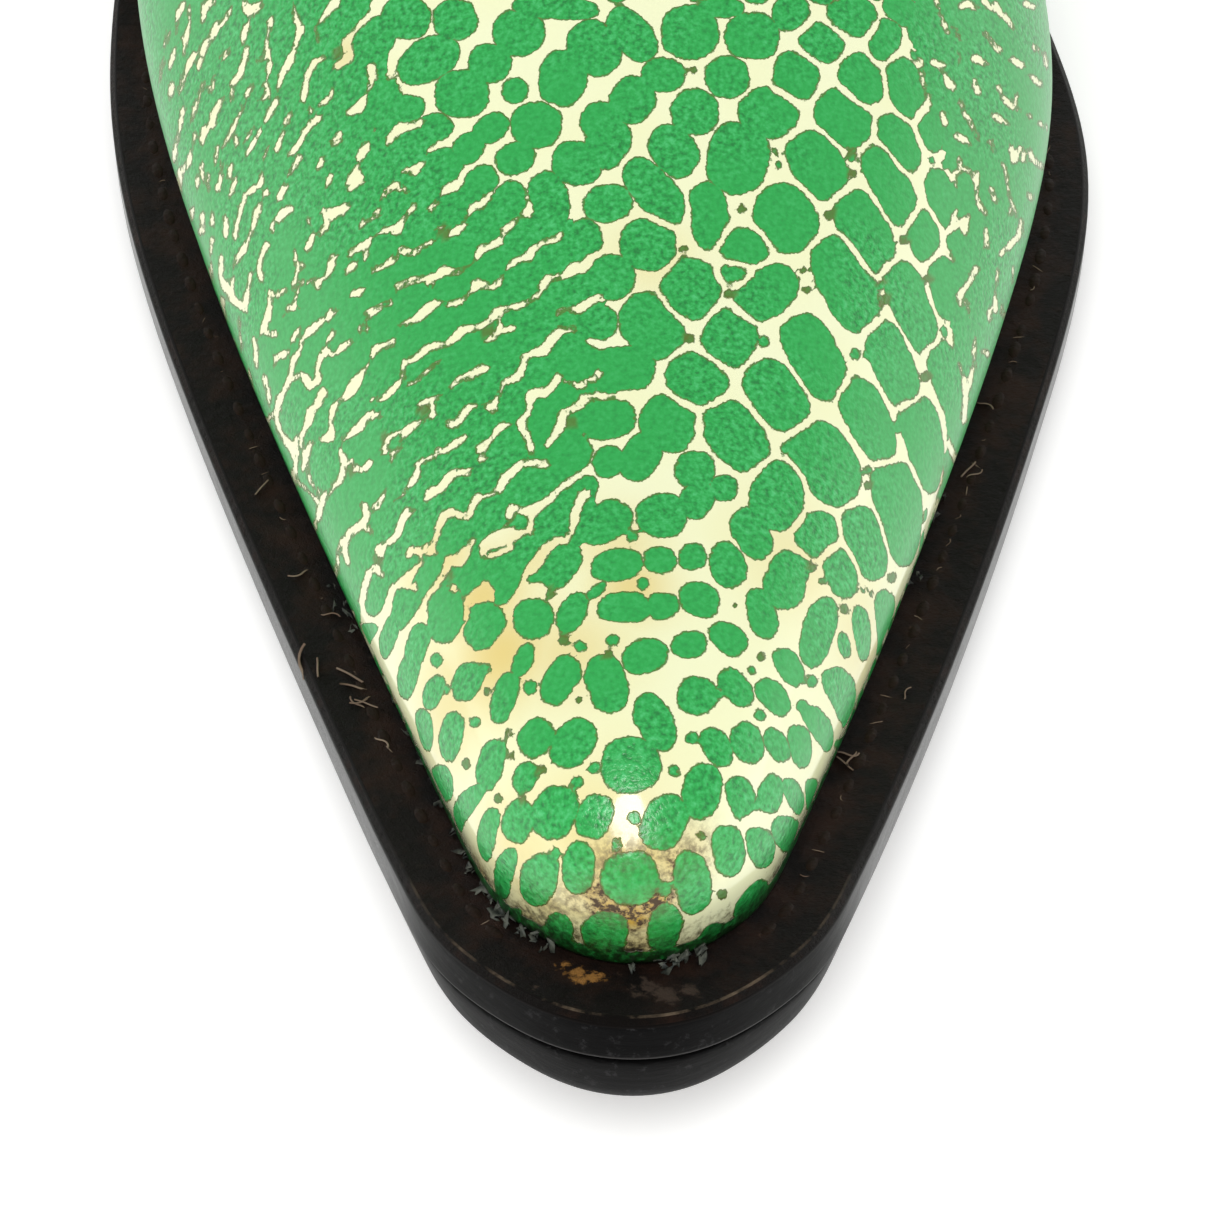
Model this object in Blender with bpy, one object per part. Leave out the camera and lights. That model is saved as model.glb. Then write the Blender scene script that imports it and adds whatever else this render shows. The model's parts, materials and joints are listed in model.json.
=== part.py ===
"""Pointed-toe ankle boot for the right foot: hollow upper, stitched welt, outsole, insole and stacked heel.

The boot stands on its sole, toe towards -Y, medial side towards +X. Sizes are in millimetres. A station is
a distance back from the front edge of the welt. All pieces hang on one empty, which centres the boot.
"""

import math

import bmesh
import bpy
import numpy as np

MM = 0.001
GAP = 0.3

# Sole: thicknesses, and the stations and heights that bend it along the foot
OUTSOLE_THICK = 5.2
WELT_THICK = 4.2
INSOLE_PROUD = 1.2
INSOLE_CLEAR = 0.6
TOE_SPRING = 10.0
TREAD_FRONT = 75.0
TREAD_BACK = 126.0
HEEL_BREAST = 224.0
SEAT_RISE_AT_BREAST = 33.0
SEAT_SLOPE = 0.07
WELT_TOP = OUTSOLE_THICK + GAP + WELT_THICK

# Last: toe and heel ends of the feather line, where the upper meets the welt, and how round they are
TOE_TIP = 6.8
HEEL_TIP = 288.0
TOE_ROUND_LENGTH = 9.5
HEEL_ROUND_LENGTH = 36.0
TOE_ROUND_POWER = 2.0
HEEL_ROUND_POWER = 2.2

# Half widths of the last's bottom, before its two ends are rounded
LAST_COLUMNS = ("station", "lateral", "medial")
LAST_ROWS = (
    (6.8, 8.9, 8.4),
    (24.0, 15.0, 14.3),
    (41.0, 20.9, 20.1),
    (60.0, 27.7, 26.3),
    (80.0, 34.9, 32.5),
    (95.0, 39.9, 36.8),
    (107.0, 43.3, 39.2),
    (116.0, 45.2, 39.7),
    (126.0, 46.6, 38.5),
    (139.0, 47.0, 35.5),
    (160.0, 45.0, 29.5),
    (185.0, 40.5, 25.5),
    (210.0, 36.0, 25.5),
    (235.0, 33.4, 28.6),
    (260.0, 32.2, 31.0),
    (288.0, 32.0, 31.6),
)

# How far the welt stands out past the feather line
MARGIN_COLUMNS = ("station", "margin")
MARGIN_ROWS = (
    (6.8, 6.8),
    (9.5, 6.1),
    (14.0, 5.9),
    (26.0, 6.1),
    (80.0, 6.2),
    (116.0, 5.8),
    (160.0, 5.0),
    (200.0, 4.5),
    (288.0, 4.2),
)

# Upper: wall of leather and lining, and the sections from toe to collar. Seen from the side, each section is
# a line from its foot, on the welt or the back line, to its crown, on the vamp ridge or the shaft's front.
UPPER_WALL = 2.0
SLICES_PER_ROW = 2
POINTS_PER_SIDE = 16
SECTION_SAMPLES = 400
FOOT_COLUMNS = (
    "foot_station",
    "crown_station",
    "crown_height",
    "swell_lateral",
    "swell_medial",
    "swell_height",
    "crown_start",
    "crown_power",
    "ridge_shift",
)
FOOT_ROWS = (
    (6.8, 6.8, 23.0, 0.0, 0.0, 5.0, 0.45, 2.2, 0.0),
    (7.4, 7.4, 26.2, 0.1, 0.1, 5.0, 0.42, 2.2, 0.0),
    (9.4, 9.4, 29.4, 0.2, 0.2, 5.0, 0.38, 2.2, 0.0),
    (13.5, 13.5, 32.2, 0.4, 0.4, 6.0, 0.34, 2.2, 0.0),
    (20.5, 20.5, 34.2, 1.0, 0.9, 7.0, 0.30, 2.2, 0.0),
    (32.0, 32.0, 35.6, 1.7, 1.4, 8.0, 0.26, 2.2, 0.2),
    (48.0, 48.0, 37.6, 2.4, 1.9, 10.0, 0.24, 2.1, 0.6),
    (66.0, 66.0, 41.2, 2.8, 2.2, 11.0, 0.22, 2.0, 1.2),
    (84.0, 84.0, 46.2, 3.0, 2.4, 13.0, 0.20, 1.9, 2.0),
    (102.0, 102.0, 53.0, 3.1, 2.1, 15.0, 0.19, 1.8, 2.6),
    (120.0, 119.0, 61.8, 3.1, 1.4, 17.0, 0.19, 1.7, 2.8),
    (139.0, 134.0, 71.8, 3.1, 1.8, 20.0, 0.20, 1.6, 2.7),
    (160.0, 147.5, 82.8, 3.2, 4.2, 23.0, 0.24, 1.6, 2.4),
    (184.0, 157.5, 93.2, 3.5, 7.2, 25.0, 0.30, 1.6, 2.0),
    (209.0, 164.0, 102.0, 3.7, 7.8, 26.0, 0.36, 1.7, 1.5),
    (232.0, 167.8, 109.0, 3.6, 6.4, 26.0, 0.42, 1.8, 1.0),
    (252.0, 169.8, 115.0, 3.4, 4.8, 26.0, 0.46, 1.9, 0.5),
    (268.0, 170.9, 120.0, 3.2, 3.8, 26.0, 0.50, 2.0, 0.2),
    (279.0, 171.5, 124.4, 3.1, 3.3, 26.0, 0.52, 2.0, 0.0),
    (285.5, 171.8, 128.4, 3.0, 3.0, 26.0, 0.54, 2.0, 0.0),
    (288.0, 172.0, 132.2, 3.0, 3.0, 26.0, 0.55, 2.0, 0.0),
)
SHAFT_COLUMNS = (
    "foot_station",
    "foot_height",
    "crown_station",
    "crown_height",
    "swell_lateral",
    "swell_medial",
    "crown_start",
    "back_length",
)
SHAFT_ROWS = (
    (288.2, 59.0, 172.2, 136.6, 3.0, 3.0, 0.55, 36.5),
    (288.6, 72.0, 172.2, 141.2, 3.2, 3.2, 0.55, 38.5),
    (288.2, 86.0, 172.1, 146.0, 3.5, 3.5, 0.54, 41.5),
    (286.6, 100.5, 171.9, 151.0, 4.0, 4.0, 0.53, 45.0),
    (284.6, 115.5, 171.5, 156.2, 4.7, 4.7, 0.52, 48.5),
    (282.9, 132.0, 171.0, 161.6, 5.7, 5.7, 0.51, 51.5),
    (282.0, 149.5, 170.4, 167.2, 7.0, 7.0, 0.50, 54.0),
    (282.0, 168.0, 169.8, 173.0, 8.5, 8.5, 0.49, 56.0),
)
SHAFT_SWELL_HEIGHT = 26.0
SHAFT_POWER = 2.0

# Edges: how far each piece of the sole stands in from the welt's outer edge, and the sizes of its small slopes
WELT_EDGE_SLOPE = 0.6
WELT_SEAM_SLOPE = 0.4
OUTSOLE_SEAM_INSET = 0.5
OUTSOLE_FLOOR_INSET = 1.4
OUTSOLE_EDGE_SLOPE = 1.0
STATIONS_PER_SIDE = 52
SHARP_ANGLE = math.radians(35)

# Heel: a stack of leather lifts on the outsole's seat, and a rubber top piece that meets the floor
HEEL_INSET = 1.8
HEEL_BACK_RAKE = 6.0
HEEL_SIDE_TAPER = 0.10
HEEL_BREAST_RAKE = 2.5
HEEL_WAIST_POWER = 0.8
HEEL_LEVELS = 6
HEEL_STATIONS = 16
TOP_PIECE_THICK = 6.0
TOP_PIECE_EDGE_SLOPE = 0.8
TOP_PIECE_DRAWN_IN = 0.03

COLOURS = {
    "upper": (0.05, 0.38, 0.10),
    "welt": (0.020, 0.013, 0.010),
    "outsole": (0.014, 0.012, 0.012),
    "insole": (0.42, 0.30, 0.18),
    "heel_block": (0.022, 0.014, 0.010),
    "heel_top_piece": (0.012, 0.012, 0.012),
}
ROUGHNESS = {
    "upper": 0.35,
    "welt": 0.65,
    "outsole": 0.50,
    "insole": 0.80,
    "heel_block": 0.45,
    "heel_top_piece": 0.75,
}


def column(columns, rows, name):
    """One named column of a table, as an array."""
    return np.array([row[columns.index(name)] for row in rows], float)


def through(places, values, at):
    """Values at the places asked for, on a smooth curve through the rows of a table."""
    slopes = np.gradient(values, places)
    at = np.clip(np.asarray(at, float), places[0], places[-1])
    row = np.clip(np.searchsorted(places, at, side="right") - 1, 0, len(places) - 2)
    span = places[row + 1] - places[row]
    u = (at - places[row]) / span
    start = (1 + 2 * u) * (1 - u) ** 2 * values[row] + u * (1 - u) ** 2 * span * slopes[row]
    end = u**2 * (3 - 2 * u) * values[row + 1] + u**2 * (u - 1) * span * slopes[row + 1]
    return start + end


def rounded_end(distance, length, power):
    """Share of the full width at a distance from a rounded end: 0 at the tip, 1 from its length onwards."""
    left = 1 - np.clip(np.asarray(distance, float) / length, 0, 1)
    return (1 - left**power) ** (1 / power)


def last_width(side, station):
    """Half width of the last's bottom on one side, before its ends are rounded."""
    places = column(LAST_COLUMNS, LAST_ROWS, "station")
    return through(places, column(LAST_COLUMNS, LAST_ROWS, side), station)


def feather_width(side, station):
    """Half width of the feather line on one side, with round toe and heel."""
    toe = rounded_end(station - TOE_TIP, TOE_ROUND_LENGTH, TOE_ROUND_POWER)
    heel = rounded_end(HEEL_TIP - station, HEEL_ROUND_LENGTH, HEEL_ROUND_POWER)
    return last_width(side, station) * toe * heel


def welt_top_height(station):
    """Height of the welt's top above the floor: toe spring, flat tread, rising shank and straight heel seat."""
    station = np.asarray(station, float)
    spring = TOE_SPRING * np.clip((TREAD_FRONT - station) / TREAD_FRONT, 0, None) ** 2
    span = HEEL_BREAST - TREAD_BACK
    u = np.clip((station - TREAD_BACK) / span, 0, 1)
    shank = SEAT_RISE_AT_BREAST * u**2 * (3 - 2 * u) + SEAT_SLOPE * span * u**2 * (u - 1)
    seat = SEAT_SLOPE * np.clip(station - HEEL_BREAST, 0, None)
    return WELT_TOP + spring + shank + seat


def bent(x, station, height):
    """Point of the sole at a height above its underside, square to the bend of the sole at that station."""
    step = 0.5
    rise = (welt_top_height(station + step) - welt_top_height(station - step)) / (2 * step)
    stretch = (height - WELT_TOP) / math.hypot(1, rise)
    return (x, station - stretch * rise, welt_top_height(station) + stretch)


def outline(inset, share=1.0):
    """The welt's outer edge moved in by inset, as (lateral, medial) pairs of plan points from toe to heel,
    close together at the round ends. With share 0 it is the feather line that is moved in."""
    turn = np.linspace(0, math.pi, STATIONS_PER_SIDE + 1)
    stations = TOE_TIP + (HEEL_TIP - TOE_TIP) * (1 - np.cos(turn)) / 2
    places = column(MARGIN_COLUMNS, MARGIN_ROWS, "station")
    margin = through(places, column(MARGIN_COLUMNS, MARGIN_ROWS, "margin"), stations) * share - inset
    sides = []
    for side, sign in (("lateral", -1), ("medial", 1)):
        edge = np.stack([sign * feather_width(side, stations), stations], axis=1)
        along = np.gradient(edge, axis=0)
        along[0] = (sign, 0)
        along[-1] = (-sign, 0)
        along /= np.linalg.norm(along, axis=1)[:, None]
        outward = np.stack([along[:, 1], -along[:, 0]], axis=1) * sign
        sides.append(edge + outward * margin[:, None])
    return list(zip(*sides))


def solid(name, bm):
    """Joins doubled points, turns the faces outwards and makes the named object with its material."""
    bmesh.ops.remove_doubles(bm, verts=bm.verts, dist=0.00001)
    bmesh.ops.recalc_face_normals(bm, faces=bm.faces)
    mesh = bpy.data.meshes.new(name)
    bm.to_mesh(mesh)
    bm.free()
    mesh.shade_smooth()
    mesh.set_sharp_from_angle(angle=SHARP_ANGLE)
    obj = bpy.data.objects.new(name, mesh)
    bpy.context.scene.collection.objects.link(obj)
    material = bpy.data.materials.new(name)
    material.use_nodes = True
    shader = material.node_tree.nodes["Principled BSDF"]
    shader.inputs["Base Color"].default_value = (*COLOURS[name], 1)
    shader.inputs["Roughness"].default_value = ROUGHNESS[name]
    mesh.materials.append(material)
    return obj


def new_points(bm, points):
    """Adds points given in millimetres."""
    return [bm.verts.new([float(value) * MM for value in point]) for point in points]


def skin(bm, rows, closed):
    """Lays four-sided faces between neighbouring rows of points."""
    for low, high in zip(rows, rows[1:]):
        count = len(low)
        for i in range(count if closed else count - 1):
            j = (i + 1) % count
            bm.faces.new((low[i], low[j], high[j], high[i]))


def slab_loop(pairs):
    """One loop round a slab: back along the lateral side and forward along the medial side."""
    lateral = [pair[0] for pair in pairs]
    medial = [pair[1] for pair in pairs]
    return lateral + medial[::-1]


def slab(name, levels):
    """A closed slab from loops of (lateral, medial) pairs, lowest first, with strips across its two faces."""
    bm = bmesh.new()
    loops = [new_points(bm, slab_loop(pairs)) for pairs in levels]
    skin(bm, loops, closed=True)
    for loop in (loops[0], loops[-1]):
        half = len(loop) // 2
        skin(bm, [loop[:half], loop[: half - 1 : -1]], closed=False)
    return solid(name, bm)


def sole_level(inset, height, share=1.0):
    """A loop of the sole: an outline at a height above the underside, bent with the sole."""
    return [[bent(x, station, height) for x, station in pair] for pair in outline(inset, share)]


def outsole():
    top = OUTSOLE_THICK
    return slab(
        "outsole",
        [
            sole_level(OUTSOLE_FLOOR_INSET + OUTSOLE_EDGE_SLOPE, 0),
            sole_level(OUTSOLE_FLOOR_INSET, OUTSOLE_EDGE_SLOPE),
            sole_level(OUTSOLE_SEAM_INSET, top - WELT_SEAM_SLOPE),
            sole_level(OUTSOLE_SEAM_INSET + WELT_SEAM_SLOPE, top),
        ],
    )


def welt():
    """A closed strip round the boot, its inner edge under the wall of the upper."""
    low = OUTSOLE_THICK + GAP
    edges = (
        (UPPER_WALL, low, 0.0),
        (WELT_SEAM_SLOPE, low, 1.0),
        (0.0, low + WELT_SEAM_SLOPE, 1.0),
        (0.0, WELT_TOP - WELT_EDGE_SLOPE, 1.0),
        (WELT_EDGE_SLOPE, WELT_TOP, 1.0),
        (UPPER_WALL, WELT_TOP, 0.0),
    )
    bm = bmesh.new()
    loops = [new_points(bm, slab_loop(sole_level(*edge))) for edge in edges]
    skin(bm, loops + loops[:1], closed=True)
    return solid("welt", bm)


def insole():
    inset = UPPER_WALL + INSOLE_CLEAR
    low = OUTSOLE_THICK + GAP
    return slab("insole", [sole_level(inset, h, 0.0) for h in (low, WELT_TOP + INSOLE_PROUD)])


def half_section(side, row):
    """One side of a section from foot to crown, evenly spaced: half widths and shares of the way up. The wall
    stands on the last's width, swells over a height above the welt, and closes to the crown."""
    share = np.linspace(0, 1, SECTION_SAMPLES)
    station = row["foot_station"] + (row["crown_station"] - row["foot_station"]) * share
    height = row["foot_height"] + (row["crown_height"] - row["foot_height"]) * share
    above_welt = np.clip((height - welt_top_height(station) - GAP) / row["swell_height"], 0, 1)
    swell = row["swell_" + side] * np.sin(above_welt * math.pi / 2) ** 2
    back = rounded_end(row["from_heel"] + row["foot_station"] - station, row["back_length"], HEEL_ROUND_POWER)
    over = np.clip((share - row["crown_start"]) / (1 - row["crown_start"]), 0, 1)
    crown = np.sqrt(np.clip(1 - over ** row["crown_power"], 0, 1))
    width = (row[side] + swell) * back * row["toe_round"] * crown
    steps = np.hypot(np.diff(width), np.hypot(np.diff(station), np.diff(height)))
    along = np.concatenate([[0], np.cumsum(steps)])
    even = np.linspace(0, along[-1], POINTS_PER_SIDE + 1)
    return np.interp(even, along, width), np.interp(even, along, share)


def section(row):
    """A whole section as points, from the lateral foot over the crown to the medial foot."""
    halves = []
    for side, sign in (("lateral", -1), ("medial", 1)):
        width, share = half_section(side, row)
        x = sign * width + row["ridge_shift"] * share**2
        station = row["foot_station"] + (row["crown_station"] - row["foot_station"]) * share
        height = row["foot_height"] + (row["crown_height"] - row["foot_height"]) * share
        halves.append(list(zip(x, station, height)))
    return halves[0] + halves[1][-2::-1]


def slices():
    """Rows for all the slices of the upper, read from smooth curves through the two tables. The foot's heights
    and widths come from the sole and the last, and the shaft's table starts at the foot's last row."""
    heel = dict(zip(FOOT_COLUMNS, FOOT_ROWS[-1]))
    heel["foot_height"] = float(welt_top_height(HEEL_TIP)) + GAP
    heel["back_length"] = HEEL_ROUND_LENGTH
    shaft_rows = [tuple(heel[name] for name in SHAFT_COLUMNS)] + list(SHAFT_ROWS)
    shared = {}
    for name in set(FOOT_COLUMNS) & set(SHAFT_COLUMNS) - {"foot_station"}:
        shaft = column(SHAFT_COLUMNS, SHAFT_ROWS, name)
        shared[name] = np.concatenate([column(FOOT_COLUMNS, FOOT_ROWS, name), shaft])
    places = np.arange(len(FOOT_ROWS) + len(SHAFT_ROWS), dtype=float)
    foot_places = places[: len(FOOT_ROWS)]
    shaft_places = places[len(FOOT_ROWS) - 1 :]
    made = []
    for place in np.linspace(0, places[-1], len(places[1:]) * SLICES_PER_ROW + 1):
        row = {name: float(through(places, values, place)) for name, values in shared.items()}
        if place <= foot_places[-1]:
            for name in ("foot_station", "swell_height", "crown_power", "ridge_shift"):
                row[name] = float(through(foot_places, column(FOOT_COLUMNS, FOOT_ROWS, name), place))
            row["foot_height"] = float(welt_top_height(row["foot_station"])) + GAP
            row["back_length"] = HEEL_ROUND_LENGTH
        else:
            for name in ("foot_station", "foot_height", "back_length"):
                row[name] = float(through(shaft_places, column(SHAFT_COLUMNS, shaft_rows, name), place))
            row["swell_height"] = SHAFT_SWELL_HEIGHT
            row["crown_power"] = SHAFT_POWER
            row["ridge_shift"] = 0.0
        on_last = min(row["foot_station"], HEEL_TIP) if place <= foot_places[-1] else HEEL_TIP
        row["from_heel"] = HEEL_TIP - on_last
        row["toe_round"] = float(rounded_end(on_last - TOE_TIP, TOE_ROUND_LENGTH, TOE_ROUND_POWER))
        for side in ("lateral", "medial"):
            row[side] = float(last_width(side, on_last))
        made.append(row)
    return made


def upper():
    """The vamp and shaft in one wall, open at the collar and under the foot."""
    bm = bmesh.new()
    skin(bm, [new_points(bm, section(row)) for row in slices()], closed=False)
    obj = solid("upper", bm)
    wall = obj.modifiers.new("wall", "SOLIDIFY")
    wall.thickness = UPPER_WALL * MM
    wall.offset = -1
    return obj


def heel_ends():
    """The heel's outline as (lateral, medial) pairs from breast to back, each with its seat and floor ends."""
    margin = MARGIN_ROWS[-1][MARGIN_COLUMNS.index("margin")] - HEEL_INSET
    back = HEEL_TIP + margin
    pairs = []
    for turn in np.linspace(0, math.pi / 2, HEEL_STATIONS):
        along = math.sin(turn)
        station = HEEL_BREAST + (back - HEEL_BREAST) * along
        moved = station + HEEL_BREAST_RAKE * (1 - along) - HEEL_BACK_RAKE * along
        round_back = rounded_end(back - station, HEEL_ROUND_LENGTH, HEEL_ROUND_POWER)
        pair = []
        for side, sign in (("lateral", -1), ("medial", 1)):
            x = float(sign * (last_width(side, station) + margin) * round_back)
            pair.append((bent(x, station, -GAP), (x * (1 - HEEL_SIDE_TAPER), moved, 0.0)))
        pairs.append(pair)
    return pairs


def heel_level(share, floor_height, drawn_in=0.0):
    """A loop of the heel, a share of the way from its seat to a floor end at the height given."""
    lean = share**HEEL_WAIST_POWER
    level = []
    for pair in heel_ends():
        points = []
        for seat, floor in pair:
            x = (seat[0] + (floor[0] - seat[0]) * lean) * (1 - drawn_in)
            station = seat[1] + (floor[1] - seat[1]) * lean
            points.append((x, station, seat[2] + (floor_height - seat[2]) * share))
        level.append(points)
    return level


def heel_block():
    shares = np.linspace(1, 0, HEEL_LEVELS)
    return slab("heel_block", [heel_level(share, TOP_PIECE_THICK + GAP) for share in shares])


def heel_top_piece():
    heights = (0.0, TOP_PIECE_EDGE_SLOPE, TOP_PIECE_THICK)
    narrower = (TOP_PIECE_DRAWN_IN, 0.0, 0.0)
    return slab("heel_top_piece", [heel_level(1.0, *level) for level in zip(heights, narrower)])


def main():
    for old in list(bpy.data.objects):
        bpy.data.objects.remove(old)
    pieces = [outsole(), welt(), insole(), upper(), heel_block(), heel_top_piece()]
    corners = np.array([point.co for piece in pieces for point in piece.data.vertices])
    middle = (corners.min(axis=0) + corners.max(axis=0)) / 2
    place = bpy.data.objects.new("boot_place", None)
    bpy.context.scene.collection.objects.link(place)
    place.location = (-middle[0], -middle[1], 0)
    for piece in pieces:
        piece.parent = place


main()
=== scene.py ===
"""Looks of the pointed-toe ankle boot, a right boot in green and cream snake-print leather.

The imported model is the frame. Sizes are in metres unless a name ends in mm, and places that are read from the
photograph are in its own 1207 by 1207 pixels, in names that end in px.
"""

import json
import math
import random

import bpy
import numpy as np
from mathutils import Euler, Matrix, Vector
from mathutils.kdtree import KDTree

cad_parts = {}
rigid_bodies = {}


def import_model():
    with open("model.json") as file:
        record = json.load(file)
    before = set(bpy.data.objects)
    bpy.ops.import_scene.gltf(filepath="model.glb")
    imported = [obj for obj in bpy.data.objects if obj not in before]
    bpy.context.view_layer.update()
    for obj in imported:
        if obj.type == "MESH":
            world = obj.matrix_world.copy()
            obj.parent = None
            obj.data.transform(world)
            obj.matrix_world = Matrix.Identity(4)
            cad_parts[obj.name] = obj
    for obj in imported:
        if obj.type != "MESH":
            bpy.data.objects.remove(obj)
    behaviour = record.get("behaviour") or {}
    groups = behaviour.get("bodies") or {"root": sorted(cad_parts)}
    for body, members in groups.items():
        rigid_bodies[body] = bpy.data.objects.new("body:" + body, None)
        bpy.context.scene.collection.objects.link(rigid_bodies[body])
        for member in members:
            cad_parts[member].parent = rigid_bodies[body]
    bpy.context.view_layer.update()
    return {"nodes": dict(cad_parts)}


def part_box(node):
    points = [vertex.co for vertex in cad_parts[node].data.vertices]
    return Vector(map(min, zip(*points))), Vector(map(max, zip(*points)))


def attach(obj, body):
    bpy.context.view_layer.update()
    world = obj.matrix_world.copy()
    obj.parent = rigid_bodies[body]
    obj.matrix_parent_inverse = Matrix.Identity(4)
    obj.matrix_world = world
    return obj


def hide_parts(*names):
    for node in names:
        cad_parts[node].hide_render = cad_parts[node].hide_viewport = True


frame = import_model()
random.seed(7)

# The camera stands where the photograph was taken: in front of the toe, looking down at about 48 degrees
# through a long lens. It comes first because the print, the dirt and the loose film are placed through it.
PHOTO_PX = 1207
MIDDLE_PX = PHOTO_PX / 2
CAMERA_PLACE = Vector((0.001056, -0.341543, 0.2865))
CAMERA_TURN = Euler((math.radians(42), 0, 0))
LENS_MM = 124.8
SENSOR_MM = 36.0
PX_SLOPE = SENSOR_MM / LENS_MM / PHOTO_PX

bpy.ops.object.camera_add(location=CAMERA_PLACE, rotation=CAMERA_TURN)
camera = bpy.context.object
camera.name = "photo_camera"
camera.data.lens = LENS_MM
camera.data.sensor_width = SENSOR_MM
bpy.context.scene.camera = camera


def sight_line(across_px, down_px):
    """The direction from the camera through a pixel of the photograph."""
    ray = Vector(((across_px - MIDDLE_PX) * PX_SLOPE, (MIDDLE_PX - down_px) * PX_SLOPE, -1.0))
    ray.rotate(CAMERA_TURN)
    return ray.normalized()


def photo_place(points):
    """Pixels of the photograph, across and down, at which world points show."""
    local = (points - np.array(CAMERA_PLACE)) @ np.array(CAMERA_TURN.to_matrix())
    across = local[:, 0] / -local[:, 2] / PX_SLOPE + MIDDLE_PX
    down = MIDDLE_PX - local[:, 1] / -local[:, 2] / PX_SLOPE
    return across, down


# The upper is one wall of calf leather, pulled over the last and closed at the heel, with a thin leather
# lining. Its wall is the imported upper's own, merged, turned to quads and smoothed, with a finer mesh on the
# outside for the print, and a rounded edge at the collar.
MERGED_WITHIN = 1e-6
RIM_ANGLE = math.radians(55)
RIM_CREASE = 0.7
BACK_LINE_X = 0.003456
BACK_LINE_HALF = 1e-4
BACK_STARTS_Y = 0.05
OUTSIDE, LINED, RIM = 0, 1, 2
UNDER_SKIN = 0.0005
HALVINGS = 4
SHOWN_EDGE_MM, OTHER_EDGE_MM = 0.59, 1.5
SHOWN_MARGIN_PX = 30


def merged(node, name, sharp_angle, crease):
    """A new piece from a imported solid: triangles joined to quads, sharp edges creased and marked as seams."""
    piece = bpy.data.objects.new(name, frame["nodes"][node].data.copy())
    bpy.context.scene.collection.objects.link(piece)
    bpy.ops.object.select_all(action="DESELECT")
    bpy.context.view_layer.objects.active = piece
    piece.select_set(True)
    piece.data.materials.clear()
    bpy.ops.object.mode_set(mode="EDIT")
    bpy.ops.mesh.select_mode(type="EDGE")
    bpy.ops.mesh.select_all(action="SELECT")
    bpy.ops.mesh.remove_doubles(threshold=MERGED_WITHIN)
    bpy.ops.mesh.tris_convert_to_quads(face_threshold=math.pi, shape_threshold=math.pi)
    bpy.ops.mesh.select_all(action="DESELECT")
    bpy.ops.mesh.edges_select_sharp(sharpness=sharp_angle)
    bpy.ops.mesh.mark_seam()
    bpy.ops.transform.edge_crease(value=crease)
    bpy.ops.mesh.select_all(action="DESELECT")
    bpy.ops.object.mode_set(mode="OBJECT")
    return piece


def pick(piece, kind, chosen):
    """Opens a piece in edit mode with only those faces or edges selected that chosen is true for."""
    bpy.ops.object.mode_set(mode="EDIT")
    bpy.ops.mesh.select_mode(type=kind)
    bpy.ops.mesh.select_all(action="DESELECT")
    bpy.ops.object.mode_set(mode="OBJECT")
    for item in piece.data.polygons if kind == "FACE" else piece.data.edges:
        item.select = chosen(item)
    bpy.ops.object.mode_set(mode="EDIT")


upper = merged("upper", "upper_leather", RIM_ANGLE, RIM_CREASE)
for edge in upper.data.edges:
    ends = [upper.data.vertices[end].co for end in edge.vertices]
    if all(abs(end.x - BACK_LINE_X) < BACK_LINE_HALF and end.y > BACK_STARTS_Y for end in ends):
        edge.use_seam = True

# The outside is what is joined to the widest face without crossing a seam. It is laid flat, cut open down the
# back, so that the print has a flat sheet to follow. The lining is joined to the face behind that one.
widest = max(upper.data.polygons, key=lambda face: face.center.x)
_, _, _, behind = upper.ray_cast(widest.center - widest.normal * UNDER_SKIN, -widest.normal)
starts = {OUTSIDE: widest.index, LINED: behind}
for face in upper.data.polygons:
    face.material_index = RIM
for side, start in starts.items():
    pick(upper, "FACE", lambda face: face.index == start)
    bpy.ops.mesh.select_linked(delimit={"SEAM"})
    if side == OUTSIDE:
        bpy.ops.uv.unwrap(method="ANGLE_BASED", margin=0)
    bpy.ops.object.mode_set(mode="OBJECT")
    for face in upper.data.polygons:
        if face.select:
            face.material_index = side

smooth = upper.modifiers.new("smooth", "SUBSURF")
smooth.levels = smooth.render_levels = 1
bpy.ops.object.modifier_apply(modifier="smooth")


def numbers(items, name, columns, kind=np.float32):
    """One property of all items of a mesh, as an array with a row for each."""
    values = np.empty(len(items) * columns, kind)
    items.foreach_get(name, values)
    return values.reshape(-1, columns)


def too_long(edge):
    """Whether an edge of the upper's outside is longer than the print allows where it lies."""
    first, second = edge.vertices
    longest_mm = SHOWN_EDGE_MM if shown[first] or shown[second] else OTHER_EDGE_MM
    length_mm = np.linalg.norm(place[first] - place[second]) * 1000
    return length_mm > longest_mm and edge.key in outside_keys


# The print needs short edges outside: very short where the photograph shows the leather, less so elsewhere.
for _ in range(HALVINGS):
    place = numbers(upper.data.vertices, "co", 3)
    normals = numbers(upper.data.vertices, "normal", 3)
    facing = ((np.array(CAMERA_PLACE) - place) * normals).sum(1) > 0
    across, down = photo_place(place)
    shown = facing & (abs(across - MIDDLE_PX) < MIDDLE_PX)
    shown &= abs(down - MIDDLE_PX) < MIDDLE_PX + SHOWN_MARGIN_PX
    outside_faces = [face for face in upper.data.polygons if face.material_index == OUTSIDE]
    outside_keys = {key for face in outside_faces for key in face.edge_keys}
    pick(upper, "EDGE", too_long)
    bpy.ops.mesh.subdivide(number_cuts=1, smoothness=1.0)
    bpy.ops.object.mode_set(mode="OBJECT")
bpy.ops.object.shade_smooth()

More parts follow.
